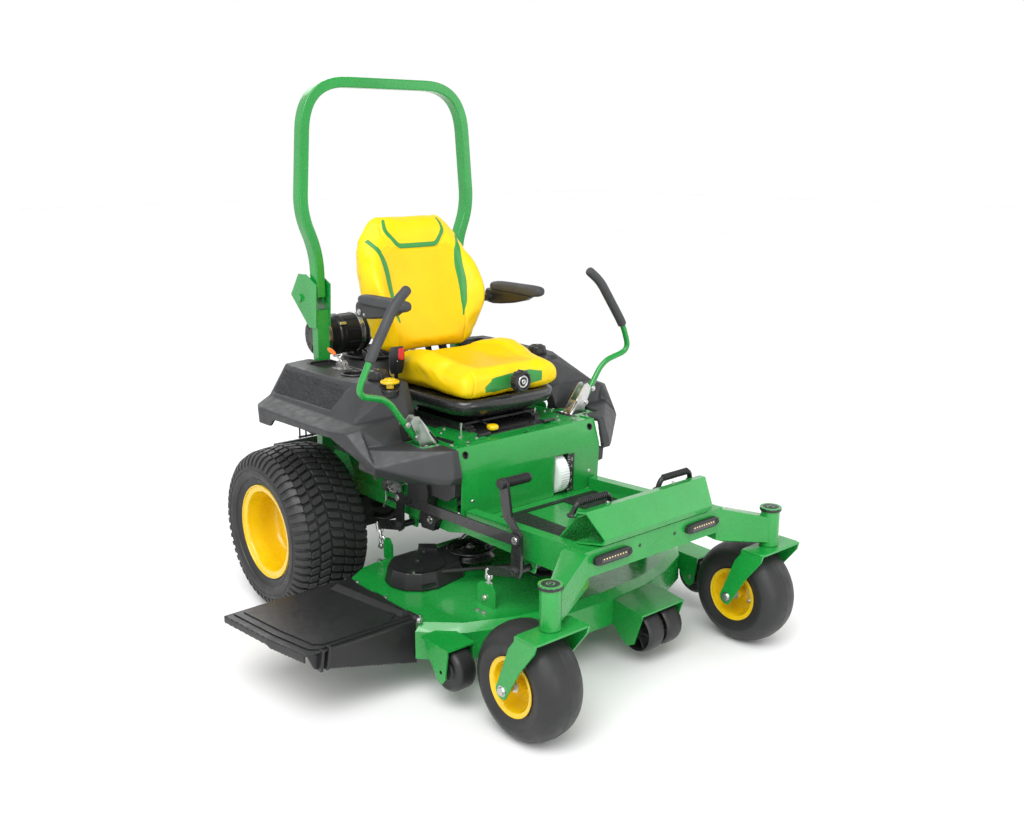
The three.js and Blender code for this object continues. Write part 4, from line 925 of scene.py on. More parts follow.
def paint_region(obj, outline, plane, facing, look=1):
    """Give the second material to faces whose middle lies inside an outline, seen from facing."""
    look_dir = Vector(facing).normalized()
    for face in obj.data.polygons:
        if face.normal.dot(look_dir) < 0.2:
            continue
        x, y = plane((face.center - ORIGIN) * 1000)
        inside = False
        for (x0, y0), (x1, y1) in zip(outline, outline[-1:] + outline[:-1]):
            if (y0 > y) != (y1 > y) and x < (x1 - x0) * (y - y0) / (y1 - y0) + x0:
                inside = not inside
        if inside:
            face.material_index = look


def cushion_height(x, y):
    """Top of the seat cushion before it is puffed."""
    u = min(abs(x) / 236, 1.0)
    k = (y + 650) / 475
    side = 0.5 - 0.5 * math.cos(math.pi * min(max((u - 0.40) / 0.40, 0), 1))
    middle = 940 - 16 * math.sin(math.pi * min(max(k, 0), 1))
    hump = lerp_table([(-650, 940), (-590, 948), (-534, 957), (-476, 974), (-400, 991), (-350, 989),
                       (-265, 972), (-180, 944)], y)
    return middle * (1 - side) + hump * side


def seat_cushion():
    rings = []
    front, rear, edge = -646.0, -180.0, 36.0
    stations = [front + edge * (1 - math.cos(q)) for q in np.linspace(0.14, math.pi / 2, 9)]
    stations += list(np.linspace(front + edge, rear - 30, 24))[1:-1]
    stations += [rear - 30 * (1 - math.cos(q)) for q in np.linspace(math.pi / 2, 0.14, 6)]
    for y in stations:
        pinch_front = math.sqrt(max(0.0, 1 - (1 - min((y - front) / edge, 1.0)) ** 2))
        pinch_rear = math.sqrt(max(0.0, 1 - (1 - min((rear - y) / 30, 1.0)) ** 2))
        pinch = min(pinch_front, pinch_rear)
        k = (y - front) / (rear - front)
        w = 224 + 9 * math.sin(math.pi * 0.5 * min(k * 1.6, 1)) - 18 * (1 - pinch) - 8 * max(0, k - 0.8) / 0.2
        ring = []
        for q in turn(80):
            x = w * power(math.cos(q), 0.46)
            s = power(math.sin(q), 0.46)
            low, high = 846.0, cushion_height(x, y) - 6
            mid = low + (high - low) * 0.40
            z = mid + (s * (high - mid) if s > 0 else s * (mid - low)) * (0.36 + 0.64 * pinch)
            ring.append((x, y, z))
        rings.append(ring)
    pad = soft_pad("seat_cushion_pad", Shape().rings(rings), "seat", [VINYL, VINYL_INSERT], cap=12)
    insert = [(-132, -596), (-128, -520), (-150, -400), (-140, -250), (-120, -196), (120, -196), (140, -250),
              (150, -400), (128, -520), (132, -596)]
    groove(pad, [[(x, y, 950) for x, y in rounded_2d(insert, 26)]], (0, 0, 1), depth=2.8)
    groove(pad, [[(-176, -640, 856), (-168, -640, 930)], [(176, -640, 856), (168, -640, 930)]], (0, -1, 0.1),
           depth=2.4)
    paint_region(pad, insert, lambda p: (p.x, p.y), (0, 0, 1))
    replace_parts(pad, "seat_cushion")
    patch = rounded_path([(-122, -640, 868), (-80, -640, 880), (0, -640, 886), (80, -640, 888),
                          (136, -640, 886)], 12, 4)
    surface_strip("seat_front_patch", pad, patch, [22, 40] + [52] * (len(patch) - 4) + [48, 34], (0, -1, 0.05),
                  "seat", [VINYL_GREEN])


def rounded_2d(points, radius):
    return [(p.x, p.y) for p in rounded_path([(x, y, 0) for x, y in points + points[:2]], radius, 5)]


def super_ring(half_x, y0, y1, z, exponent=0.42, n=72):
    mid, half = (y0 + y1) / 2, (y1 - y0) / 2
    return [(half_x * power(math.cos(q), exponent), mid + half * power(math.sin(q), exponent), z)
            for q in turn(n)]


def seat_base_parts():
    pan = Shape()
    pan.rings([super_ring(*r) for r in ((150, -560, -240, 768), (176, -596, -214, 768.5),
                                        (196, -618, -200, 774), (222, -640, -188, 786), (236, -648, -182, 804),
                                        (239, -650, -180, 818), (236, -647, -182, 830),
                                        (228, -640, -186, 837), (219, -632, -190, 838), (214, -626, -194, 834),
                                        (150, -560, -240, 832))])
    make("seat_pan_fine", pan, "seat", [BLACK_PAINT], angle=50, replaces=("seat_pan",))
    bracket = Shape()
    bracket.block((-78, 78), (-190, -150), (792, 812))
    bracket.plate([(-196, 792), (-150, 792), (-60, 856), (28, 1120), (12, 1120), (-82, 880), (-170, 812)], "x",
                  -70, -58)
    bracket.plate([(-196, 792), (-150, 792), (-60, 856), (28, 1120), (12, 1120), (-82, 880), (-170, 812)], "x",
                  58, 70)
    make("seat_back_bracket", bracket, "seat", [BLACK_PAINT], bevel=1.5)
    boot = Shape()
    rings = []
    for k in range(13):
        z = 745 + k * 2.0
        r = 6 * (k % 2)
        rings.append(super_ring(150 + r, -545 - r, -250 + r, z, 0.3, 56))
    boot.rings(rings)
    make("seat_bellows", boot, "seat_slider", [RUBBER], angle=20)
    knob = Shape()
    knob.turned([(0, -655), (12, -655), (13, -662), (33, -664), (37.5, -669), (38, -684), (36, -692),
                 (31, -695.5), (27, -694),
                 (25.5, -690), (0, -690)], "y", (0, 0, KNOB_Z), 64)
    for r0, r1, out in ((15.5, 22, -693.5), (3, 9.5, -696)):
        knob.turned([(r0, -689), (r1, -689), (r1, out + 1), (r1 - 1, out), (r0 + 1, out), (r0, out + 1)], "y",
                    (0, 0, KNOB_Z), 48,
                    look=1, ring=True)
    for q in turn(12):
        knob.rod((37.4 * math.cos(q), -666, 890 + 37.4 * math.sin(q)),
                 (37.4 * math.cos(q), -691, 890 + 37.4 * math.sin(q)), 2.8, 8)
    make("suspension_knob_fine", knob, "suspension_knob", [BLACK_PLASTIC, ZINC], angle=34,
         replaces=("suspension_knob",))
    lever = Shape()
    lever.tube(rounded_path([(-104, -546, 748), (-104, -600, 747), (-104, -640, 740)], 20, 3), 4.0, 12)
    rings = []
    for y, w, h in ((-628, 7, 6), (-634, 13, 9), (-646, 18, 11), (-658, 19, 11), (-666, 15, 8), (-669, 8, 4)):
        rings.append([(-104 + w * power(math.cos(q), 0.7), y, 738 + h * power(math.sin(q), 0.7))
                      for q in turn(24)])
    lever.rings(rings, look=1)
    make("slide_lever_fine", lever, "slide_lever", [ZINC, YELLOW_PAINT], angle=40,
         replaces=("slide_lever",))
    buckle = Shape()
    path = [(-252, -262, 832), (-262, -300, 872), (-268, -318, 905)]
    buckle.tube(path, [11, 12, 14], 16, flat=0.6)
    rings = []
    for k, (w, d) in enumerate(((15, 21), (20, 27), (21, 29), (21, 30), (20, 29), (16, 24))):
        c = Vector((-268, -316, 896)) + Vector((-8, -18, 100)) * (k / 5)
        rings.append([(c.x + w * power(math.cos(q), 0.6), c.y + d * power(math.sin(q), 0.6),
                       c.z - 0.18 * d * power(math.sin(q), 0.6)) for q in turn(32)])
    buckle.rings(rings)
    red = []
    for y, k in ((-338, 1.0), (-363, 1.0), (-366, 0.8)):
        red.append([(-276 + 11 * k * power(math.cos(q), 0.5), y, 974 + 21 * k * power(math.sin(q), 0.5))
                    for q in turn(24)])
    buckle.rings(red, look=1)
    for k in range(3):
        buckle.rod((-288, -350 + 2 * k, 948 + 12 * k), (-264, -350 + 2 * k, 948 + 12 * k), 1.6, 8, look=2)
    make("belt_buckle_fine", buckle, "seat", [BLACK_PLASTIC, RED, INK_WHITE], angle=36,
         replaces=("belt_buckle",))


def armrest(side, s):
    rings = []
    table = [(-450, 12, 8, 1150), (-446, 19, 14, 1150), (-434, 24, 19, 1149), (-408, 26, 22, 1148),
             (-360, 26, 21, 1149), (-290, 25.5, 20, 1150),
             (-220, 25.5, 20, 1150), (-184, 25, 19, 1149), (-168, 22, 16, 1148), (-160, 15, 9, 1147)]
    for y, w, h, z in table:
        rings.append([((305 + 0.94 * w * power(math.cos(q), 0.72)) * s, y, z + h * power(math.sin(q), 0.72))
                      for q in turn(40)])
    pad = make("armrest_pad_" + side, Shape().rings(rings), "armrest_" + side, [FOAM], angle=60,
               subdiv=1)
    under = Shape()
    rings = []
    for y, low, high, w in ((-392, 1122, 1130, 14), (-370, 1110, 1132, 17), (-300, 1094, 1136, 18),
                            (-230, 1084, 1136, 18),
                            (-180, 1080, 1136, 18), (-144, 1084, 1138, 17), (-138, 1092, 1132, 15)):
        rings.append([((300 + w * power(math.cos(q), 0.5)) * s, y,
                       (low + high) / 2 + (high - low) / 2 * power(math.sin(q), 0.5)) for q in turn(32)])
    under.rings(rings)
    under.rod((280 * s, *ARM_PIVOT), (319 * s, *ARM_PIVOT), 16, 32)
    under.bolt((319 * s, *ARM_PIVOT), (s, 0, 0), 8, 6, look=1)
    under.bolt((316 * s, -196, 1098), (s, 0, 0), 5, 4, look=1)
    make("armrest_support_" + side, under, "armrest_" + side, [BLACK_PLASTIC, ZINC], angle=44,
         replaces=("armrest_" + side,))
    stub = Shape()
    stub.rod((216 * s, -130, 1104), (216 * s, *ARM_PIVOT), 13, 24)
    stub.rod((216 * s, *ARM_PIVOT), (279 * s, *ARM_PIVOT), 13, 24)
    make("armrest_post_" + side, stub, "seat", [BLACK_PAINT], angle=40)


seat_back()
seat_cushion()
seat_base_parts()
for side_name, sign_x in SIDES:
    armrest(side_name, sign_x)


# ------------------------------------------------------------------ fenders and consoles
def panel_depth(y, z):
    """How deep the panel on a console's side is pressed in at a point."""
    k = (z - 787) / 107
    return 3.4 * smoothstep(0.14, 0.20, k) * smoothstep(0.90, 0.84, k) * smoothstep(-316 - 30 * k,
                                                                                    -304 - 30 * k,
                                                                                    y) * smoothstep(86, 78, y)


def moulded(node, name, voxel=0.0036, rounds=5):
    """A CAD node's shape with soft moulded edges."""
    obj = bpy.data.objects.new(name, NODES[node].data.copy())
    bpy.context.scene.collection.objects.link(obj)
    remesh = obj.modifiers.new("voxels", "REMESH")
    remesh.mode = "VOXEL"
    remesh.voxel_size = voxel
    smooth = obj.modifiers.new("smooth", "SMOOTH")
    smooth.iterations, smooth.factor = rounds, 0.5
    apply_modifiers(obj)
    obj.data.materials.clear()
    return obj


def fender(side, s):
    obj = moulded("fender_" + side, "fender_fine_" + side)
    for v in obj.data.vertices:
        x, y, z = (v.co - ORIGIN) * 1000
        if v.normal.x * s > 0.45 and v.normal.z > 0.25 and z > 790:
            v.co -= v.normal * panel_depth(y, z) / 1000
    fewer = obj.modifiers.new("fewer", "DECIMATE")
    fewer.ratio = 0.4
    apply_modifiers(obj)
    dress(obj, "frame", [GREY_PLASTIC], angle=50, replaces=("fender_" + side,))
    trim = Shape()
    trim.turned([(38, 834), (41.5, 836), (41.5, 892), (47, 894), (48, 897), (46, 899.5), (41, 900), (38, 896),
                 (36.5, 840), (0, 838), (0, 834)], "z", (384 * s, -222, 0), 56)
    rim = rounded_path([(318 * s, -62, 896), (412 * s, -62, 896), (412 * s, 50, 897.5), (318 * s, 50, 897.5),
                        (318 * s, -62, 896), (412 * s, -62, 896)], 18, 5)[7:]
    trim.tube(rim[:-1], 3.6, 8)
    trim.block(span(320 * s, 410 * s), (-58, 46), (879, 886))
    # Moulded box under the step, and the inner wall of the wheel well.
    trim.plate([(-748, 606), (-500, 606), (-500, 536), (-700, 532), (-744, 560)], "x", *span(312 * s, 344 * s))
    make("fender_trim_" + side, trim, "frame", [BLACK_PLASTIC], bevel=1.0, angle=36)
    wall = Shape()
    wall.plate([(-480, 560), (-476, 716), (-470, 730), (60, 730), (60, 560)], "x", *span(306 * s, 309 * s))
    make("side_plate_" + side, wall, "frame", [GREEN], bevel=0.6)
    fixings = Shape()
    for x, y in ((540, -578), (470, -645), (410, -708)):
        fixings.bolt((x * s, y, 624), Vector((s, -1, 0)), 4, 3, sides=16)
    make("fender_fixings_" + side, fixings, "frame", [BLACK_PLASTIC])
    cap = Shape()
    cx, cy, z = 370 * s, -352, 894.6
    cap.turned([(0, z), (36, z), (37.5, z + 3), (37.5, z + 8), (34, z + 10), (33.5, z + 25), (30, z + 31),
                (22, z + 34.5), (0, z + 35.5)], "z", (cx, cy, 0), 64)
    for q in turn(14):
        cap.rod((cx + 34 * math.cos(q), cy + 34 * math.sin(q), z + 8),
                (cx + 31 * math.cos(q), cy + 31 * math.sin(q), z + 29), 2.6, 8)
    for q in turn(7):
        cap.tube([(cx + 31 * math.cos(q), cy + 31 * math.sin(q), z + 29),
                  (cx + 18 * math.cos(q), cy + 18 * math.sin(q), z + 34.6),
                  (cx + 6 * math.cos(q), cy + 6 * math.sin(q), z + 35)], 2.2, 8)
    cap.rod((cx, cy, z + 34), (cx, cy, z + 36), 4, 20, look=1)
    make("fuel_cap_fine_" + side, cap, "fuel_cap_" + side, [BLACK_PLASTIC, YELLOW_PAINT],
         angle=34, replaces=("fuel_cap_" + side,))


def console_controls():
    x, y, z = -385, -446, 882
    knob = Shape()
    knob.turned([(0, z), (12.5, z), (13, z + 2), (13, z + 14), (16, z + 15), (28, z + 16), (32.4, z + 19),
                 (33, z + 23), (30, z + 27), (20, z + 29), (18, z + 33), (8, z + 34.8), (0, z + 34.8)], "z",
                 (x, y, 0), 56)
    for q in turn(12):
        knob.rod((x + 30.5 * math.cos(q), y + 30.5 * math.sin(q), z + 18.5),
                 (x + 28.5 * math.cos(q), y + 28.5 * math.sin(q), z + 26.5), 2.6, 8)
    make("pto_knob_fine", knob, "pto_knob", [YELLOW_PAINT], angle=34, replaces=("pto_knob",))
    socket = Shape()
    socket.turned([(15, z - 26), (30, z - 26), (31, z - 8), (28, z - 3), (15, z - 2)], "z", (x, y, 0), 48,
                  ring=True)
    py, pz = -118, 915
    for dx in (-12.5, 9.5):
        socket.plate([(py - 26, pz - 20), (py + 30, pz - 20), (py + 24, pz - 4), (py + 12, pz + 10),
                      (py - 10, pz + 10), (py - 24, pz - 4)], "x", -368 + dx, -365 + dx, look=1)
    socket.block((-392, -342), (py - 34, py + 40), (pz - 20, pz - 17), look=1)
    for bx, by in ((-386, py - 26), (-386, py + 30), (-348, py - 26)):
        socket.bolt((bx, by, pz - 17), (0, 0, 1), 4, 4, look=1)
    socket.tube(rounded_path([(-352, py - 10, pz - 12), (-346, py - 40, pz - 14), (-330, py - 70, pz - 22)], 20,
                             4), 2.0, 8, look=0)
    make("throttle_bracket", socket, "frame", [BLACK_PLASTIC, ZINC], bevel=0.5)
    lever = Shape()
    lever.rod((-376, py, pz), (-360, py, pz), 7, 20)
    lever.tube(rounded_path([(-368, py, pz), (-368, py + 12, pz + 12), (-368, py + 60, pz + 33)], 12, 4), 3.6,
               12, flat=0.6)
    rings = []
    for k, (w, h) in enumerate(((3, 4), (6, 6), (7, 7.5), (7.2, 8), (6.6, 7), (3.5, 4))):
        c = Vector((-368, py + 44, pz + 27)) + Vector((0, 50, 15)) * (k / 5)
        rings.append([(c.x + w * power(math.cos(q), 0.7), c.y - 0.28 * h * math.sin(q),
                       c.z + h * power(math.sin(q), 0.7)) for q in turn(24)])
    lever.rings(rings, look=1)
    make("throttle_lever_fine", lever, "throttle_lever", [ZINC, ORANGE], angle=40,
         replaces=("throttle_lever",))


def control_lever(side, s):
    body = "control_lever_" + side
    y = LEVER_Y
    points = [(362, y, 706), (391, y, 742), (427, y, 790), (494, y, 883), (620, y - 16, 916),
              (574, y - 24, 1019), (461, y - 10, 1192), (403, y - 4, 1237)]
    points = [(x * s, yy, z) for x, yy, z in points]
    bar = rounded_path(points, [30, 30, 44, 46, 40, 40], 8)
    cut = next(i for i, p in enumerate(bar) if p.z > 1019 and i > 30)
    shape = Shape()
    shape.tube(bar[:cut + 2], 10.8, 24)
    shape.rod((362 * s, y - 12, 706), (362 * s, y + 12, 706), 14, 32)
    grip = bar[cut - 1:]
    first, last = grip[0], grip[-1]
    t0, t1 = (grip[1] - first).normalized(), (last - grip[-2]).normalized()
    path = [first, first + t0 * 3] + grip[1:-1] + [last - t1 * 12, last - t1 * 5, last - t1 * 1.2, last]
    radii = [13.5, 16.6] + [17.0] * (len(path) - 6) + [17.0, 15.2, 11.0, 5.0]
    shape.tube(path, radii, 28, look=1)
    make("control_lever_fine_" + side, shape, body, [GREEN, FOAM], angle=50, replaces=(body,))
    bolts = Shape()
    for x, z in ((391, 742), (427, 790)):
        bolts.bolt((x * s, y - 17.5, z), (0, -1, 0), 7.5, 6)
        bolts.bolt((x * s, y + 17.5, z), (0, 1, 0), 7.5, 6)
        bolts.rod((x * s, y - 18, z), (x * s, y + 18, z), 5, 12)
    make("lever_bolts_" + side, bolts, "lever_carrier_" + side, [ZINC])
    carrier = Shape()
    outline = [(303, 664), (352, 664), (378, 694), (384, 722), (415, 796), (398, 815), (383, 812), (303, 712)]
    for y0 in (y - 18, y + 14):
        carrier.plate([(x * s, z) for x, z in outline], "y", y0, y0 + 4)
    carrier.block(span(303 * s, 340 * s), (y - 18, y + 18), (660, 688))
    carrier.plate([(303 * s, 700), (303 * s, 712), (338 * s, 756), (344 * s, 751)], "y", y - 18, y + 18)
    carrier.rod((286 * s, y, 675), (350 * s, y, 675), 8, 24)
    make("lever_carrier_fine_" + side, carrier, "lever_carrier_" + side, [ZINC], bevel=1.2,
         replaces=("lever_carrier_" + side,))


for side_name, sign_x in SIDES:
    fender(side_name, sign_x)
    control_lever(side_name, sign_x)
console_controls()


# ------------------------------------------------------------------ front panel, floor and front beam
SEGMENTS = {"1": "bc", "2": "abged", "3": "abgcd", "4": "fgbc", "5": "afgcd"}


def digit(shape, mark, x, y, z, h, look):
    """A plain stroke numeral of height h on a face that looks to -y."""
    w, t = h * 0.5, h * 0.16
    strokes = {"a": (0, w, h - t, h), "g": (0, w, h / 2 - t / 2, h / 2 + t / 2), "d": (0, w, 0, t),
               "f": (0, t, h / 2, h),
               "e": (0, t, 0, h / 2), "b": (w - t, w, h / 2, h), "c": (w - t, w, 0, h / 2)}
    for key in SEGMENTS[mark]:
        x0, x1, z0, z1 = strokes[key]
        shape.block((x + x0, x + x1), (y - 0.5, y), (z + z0, z + z1), look)


def tread(shape, outline, place, pitch=21.0, look=0):
    """Rows of low slanted bars over an area. place(u, v, h) gives a point h above it."""
    (u0, u1), (v0, v1) = outline
    rows, columns = int((v1 - v0) / pitch), int((u1 - u0) / pitch)
    for i in range(rows):
        for j in range(columns):
            u, v = u0 + (j + 0.5 + 0.25 * (i % 2)) * pitch, v0 + (i + 0.5) * pitch
            turn_way = 1 if (i + j) % 2 else -1
            along = Vector((0.80, 0.60 * turn_way)) * pitch * 0.38
            over = Vector((-along.y, along.x)) * 0.34
            rings = []
            for k, h in ((1.0, -0.4), (0.92, 1.2), (0.62, 2.0)):
                rings.append([place(u + (along.x * a + over.x * b) * k, v + (along.y * a + over.y * b) * k, h)
                              for a, b in ((-1, -0.5), (-0.6, -1), (0.6, -1), (1, -0.5), (1, 0.5), (0.6, 1),
                                           (-0.6, 1), (-1, 0.5))])
            shape.rings(rings, look)


def panel_face(z):
    """How far forward the lower part of the front panel is at a height."""
    return -746.2 - 6 * max(0.0, z - 508) / 118


def front_panel_parts():
    marks = Shape()
    marks.rings([[(158, panel_face(z) - 1.6, z), (192, panel_face(z) - 1.6, z), (192, panel_face(z) + 0.4, z),
                  (158, panel_face(z) + 0.4, z)] for z in (472, 508, 612)])
    for k in range(14):
        z = 480 + k * 9.4
        y = panel_face(z)
        long_mark = k % 3 == 0
        marks.block((161, 172 if long_mark else 167), (y - 2.3, y - 1.4), (z - 1.0, z + 1.0), 1)
    for k, mark in enumerate("12345"):
        z = 478 + k * 27
        digit(marks, mark, 177, panel_face(z + 8) - 1.7, z, 11, 1)
    make("height_scale", marks, "frame", [BLACK_PLASTIC, INK_WHITE], bevel=0.25)
    fixings = Shape()
    for s in (1, -1):
        fixings.bolt((271 * s, -746, 531), (0, -1, 0), 5.5, 4)
        fixings.bolt((300 * s, -746, 484), (0, -1, 0), 3.0, 2, look=1, sides=16)
    make("front_panel_screws", fixings, "frame", [ZINC, BLACK_PLASTIC])
    plugs = Shape()
    slope = Vector((0, -0.947, 0.323))
    for s in (1, -1):
        c = Vector((287 * s, -727, 688))
        u, v = Vector((1, 0, 0)), slope.cross(Vector((1, 0, 0)))
        rings = []
        for r, h in ((10.2, -10), (10.2, 0.8), (12.6, 1.4), (12.8, 3.0), (11.0, 3.6), (9.0, 2.2), (8.6, -8)):
            rings.append([c + slope * (h + 2) + (u * math.cos(q) + v * math.sin(q)) * r for q in turn(36)])
        plugs.rings(rings)
    make("front_panel_grommets", plugs, "frame", [BLACK_PLASTIC], angle=40)
    wheel = Shape()
    wheel.turned([(0, -26), (60, -26), (69, -24), (73.5, -20), (74.4, -14), (74.4, 14), (73.5, 20), (69, 24),
                  (60, 26), (0, 26)], "x", (130, -700, 541.5), 96)
    for q in turn(48):
        c = (-700 + 74.2 * math.cos(q), 541.5 + 74.2 * math.sin(q))
        wheel.rod((110, *c), (150, *c), 1.3, 6)
    make("height_dial_fine", wheel, "height_dial", [WHITE], angle=34,
         replaces=("height_dial",))


def floor_parts():
    mats = Shape()
    top = MAT_Z
    mats.block((-246, 252), (-812, -791), (top - 0.2, top + 3))
    for x0, x1, y0, y1 in ((-248, -92, -1096, -812), (84, 248, -1096, -812)):
        mats.block((x0, x1), (y0, y1), (top - 0.2, top + 2.4))
        tread(mats, ((x0 + 6, x1 - 6), (y0 + 6, y1 - 6)), lambda u, v, h: Vector((u, v, top + 2.4 + h)))
    make("floor_mats", mats, "frame", [RUBBER], bevel=0.0, angle=30)
    slope = Shape()
    a, b = Vector((0, -1118, 474)), Vector((0, -1222, 594))
    t = (b - a).normalized()
    n = Vector((0, t.z, -t.y))
    tread(slope, ((-246, 246), (4, (b - a).length - 4)), lambda u, v,
          h: Vector((u, 0, 0)) + a + t * v + n * (h - 0.6))
    make("footrest_tread", slope, "frame", [GREEN], angle=30)
    for side, s in SIDES:
        grip = Shape()
        path = rounded_path([(108 * s, -1221, 606), (120 * s, -1226, 644), (256 * s, -1226, 644),
                             (270 * s, -1221, 606)], 20, 5)
        grip.tube(path, 8.6, 20)
        for k in range(15):
            x = (132 + k * 8) * s
            grip.turned([(8.0, -2.9), (10.6, -2.2), (11.4, -1.0), (11.4, 1.0), (10.6, 2.2), (8.0, 2.9)], "x",
                        (x, -1226, 644), 24)
        for x in (108, 270):
            grip.turned([(0, -5), (14, -5), (15, -3), (15, 2), (12, 5), (0, 6)], "z", (x * s, -1221, 608), 28)
        make("floor_handle_fine_" + side, grip, "frame", [BLACK_PLASTIC], angle=40,
             replaces=("floor_handle_" + side,))
    screws = Shape()
    for x, y, z in ((-232, -1238, 616), (232, -1238, 616), (-150, -1252, 630), (150, -1252, 630)):
        screws.bolt((x, y, z), (0, -0.3, 1), 4.5, 3, sides=16)
    for x in (-210, -150, 150, 210):
        screws.bolt((x, -1276, 529.5), (0, 0, 1), 3.4, 1.6, look=1, sides=16, washer=False)
    make("footrest_screws", screws, "frame", [ZINC, BLACK_PLASTIC])


def light_bars():
    for side, s in SIDES:
        c = 205 * s
        body = Shape()
        body.rings([[(c + (77 - inset) * power(math.cos(q), 0.34), y,
                      BEAM_Z + (15.5 - inset) * power(math.sin(q), 0.5)) for q in turn(64)]
                    for y, inset in ((-1324, 0), (-1337, 0), (-1339.5, 2.2))])
        body.rings([[(c + 56 * power(math.cos(q), 0.25), y, BEAM_Z + 8.6 * power(math.sin(q), 0.35))
                     for q in turn(48)] for y in (-1338, -1340.6)], 1)
        for k in range(9):
            x = c + (k - 4) * 11.5
            body.rings([[(x + 2.2 * k2 * math.cos(q), y, 497 + 1.7 * k2 * math.sin(q)) for q in turn(12)] for y,
                        k2 in ((-1340, 1.0), (-1341.4, 1.0), (-1341.8, 0.7))], 2)
        for x in (c - 67, c + 67):
            body.bolt((x, -1339.4, BEAM_Z), (0, -1, 0), 4.4, 2.6, look=0, sides=18)
            body.turned([(5.4, -1.2), (7.4, -1.2), (7.4, 0), (6.6, 0.8), (5.4, 0)], "y", (x, -1340.4, BEAM_Z),
                        28, look=0, ring=True)
        make("light_bar_" + side, body, "frame", [BLACK_PLASTIC, LENS, LED], angle=36)
    holes = Shape()
    for x in (-80, 80):
        holes.turned([(0, -1), (4.4, -1), (5.6, -0.6), (5.8, 0.4), (0, 0.6)], "y", (x, -1324, BEAM_Z), 24)
    make("front_beam_plugs", holes, "frame", [BLACK_PLASTIC])


def seat_deck_parts():
    plates = Shape()
    for side, s in SIDES:
        outline = [(156, -706), (232, -700), (256, -640), (250, -520), (214, -470), (176, -470), (170, -560),
                   (150, -600)]
        plates.plate([(x * s, y) for x, y in outline], "z", 713.2, 717.5)
        plates.plate([(x * s, y) for x, y in [(300, -706), (316, -702), (316, -664), (300, -664)]], "z", 713.2,
                     717.0)
        # A thin black plate on the deck stands in for the dark inside of the lever slot: painted shade, not a
        # part.
        slot_shade_outline = [(262, -640), (290, -668), (296, -640), (292, -560), (268, -552)]
        plates.plate([(x * s, y) for x, y in slot_shade_outline], "z", 713.0, 713.8, look=1)
    # A thin black plate stands in for the dark inside of the front notch: painted shade.
    plates.plate([(-12, -714), (12, -714), (8, -704), (-8, -704)], "z", 713.0, 714.0, look=1)
    make("seat_deck_plates", plates, "frame", [GREEN, BLACK_PLASTIC], bevel=0.6)
    bolts = Shape()
    for x, y, z in ((311, -688, 717), (243, -690, 717), (190, -668, 717), (226, -622, 717), (242, -536, 717),
                    (200, -500, 717), (340, -650, 713), (374, -634, 713), (283, -530, 713)):
        for s in (1, -1):
            bolts.bolt((x * s, y, z), (0, 0, 1), 5.6, 5)
    bolts.bolt((20, -610, 713), (0, 0, 1), 3.5, 3, sides=16)
    for x in (-190, 190):
        bolts.rod((x * 0.9, -560, 716), (x * 0.9, -560, 748), 5, 16)
        for z in (722, 731, 740):
            bolts.turned([(4, -1.4), (7, -1), (7, 1), (4, 1.4)], "z", (x * 0.9, -560, z), 20)
    make("seat_deck_bolts", bolts, "frame", [ZINC])


# ------------------------------------------------------------------ lift linkage
def chain(shape, a, b, look=0, pitch=22.0, wire=3.0):
    a, b = Vector(a), Vector(b)
    count = max(2, round((b - a).length / pitch))
    t = (b - a).normalized()
    u = t.orthogonal().normalized()
    v = t.cross(u)
    for k in range(count):
        c = a + (b - a) * ((k + 0.5) / count)
        w = u if k % 2 else v
        half, side = pitch * 0.5 + wire * 0.9 - 5.5, 8.5
        loop = []
        for g in turn(16):
            shift = half if math.cos(g) > 0 else -half
            loop.append(c + t * (shift + 5.5 * math.cos(g)) + w * side * math.sin(g))
        shape.tube(loop, wire, 8, look, closed=True)


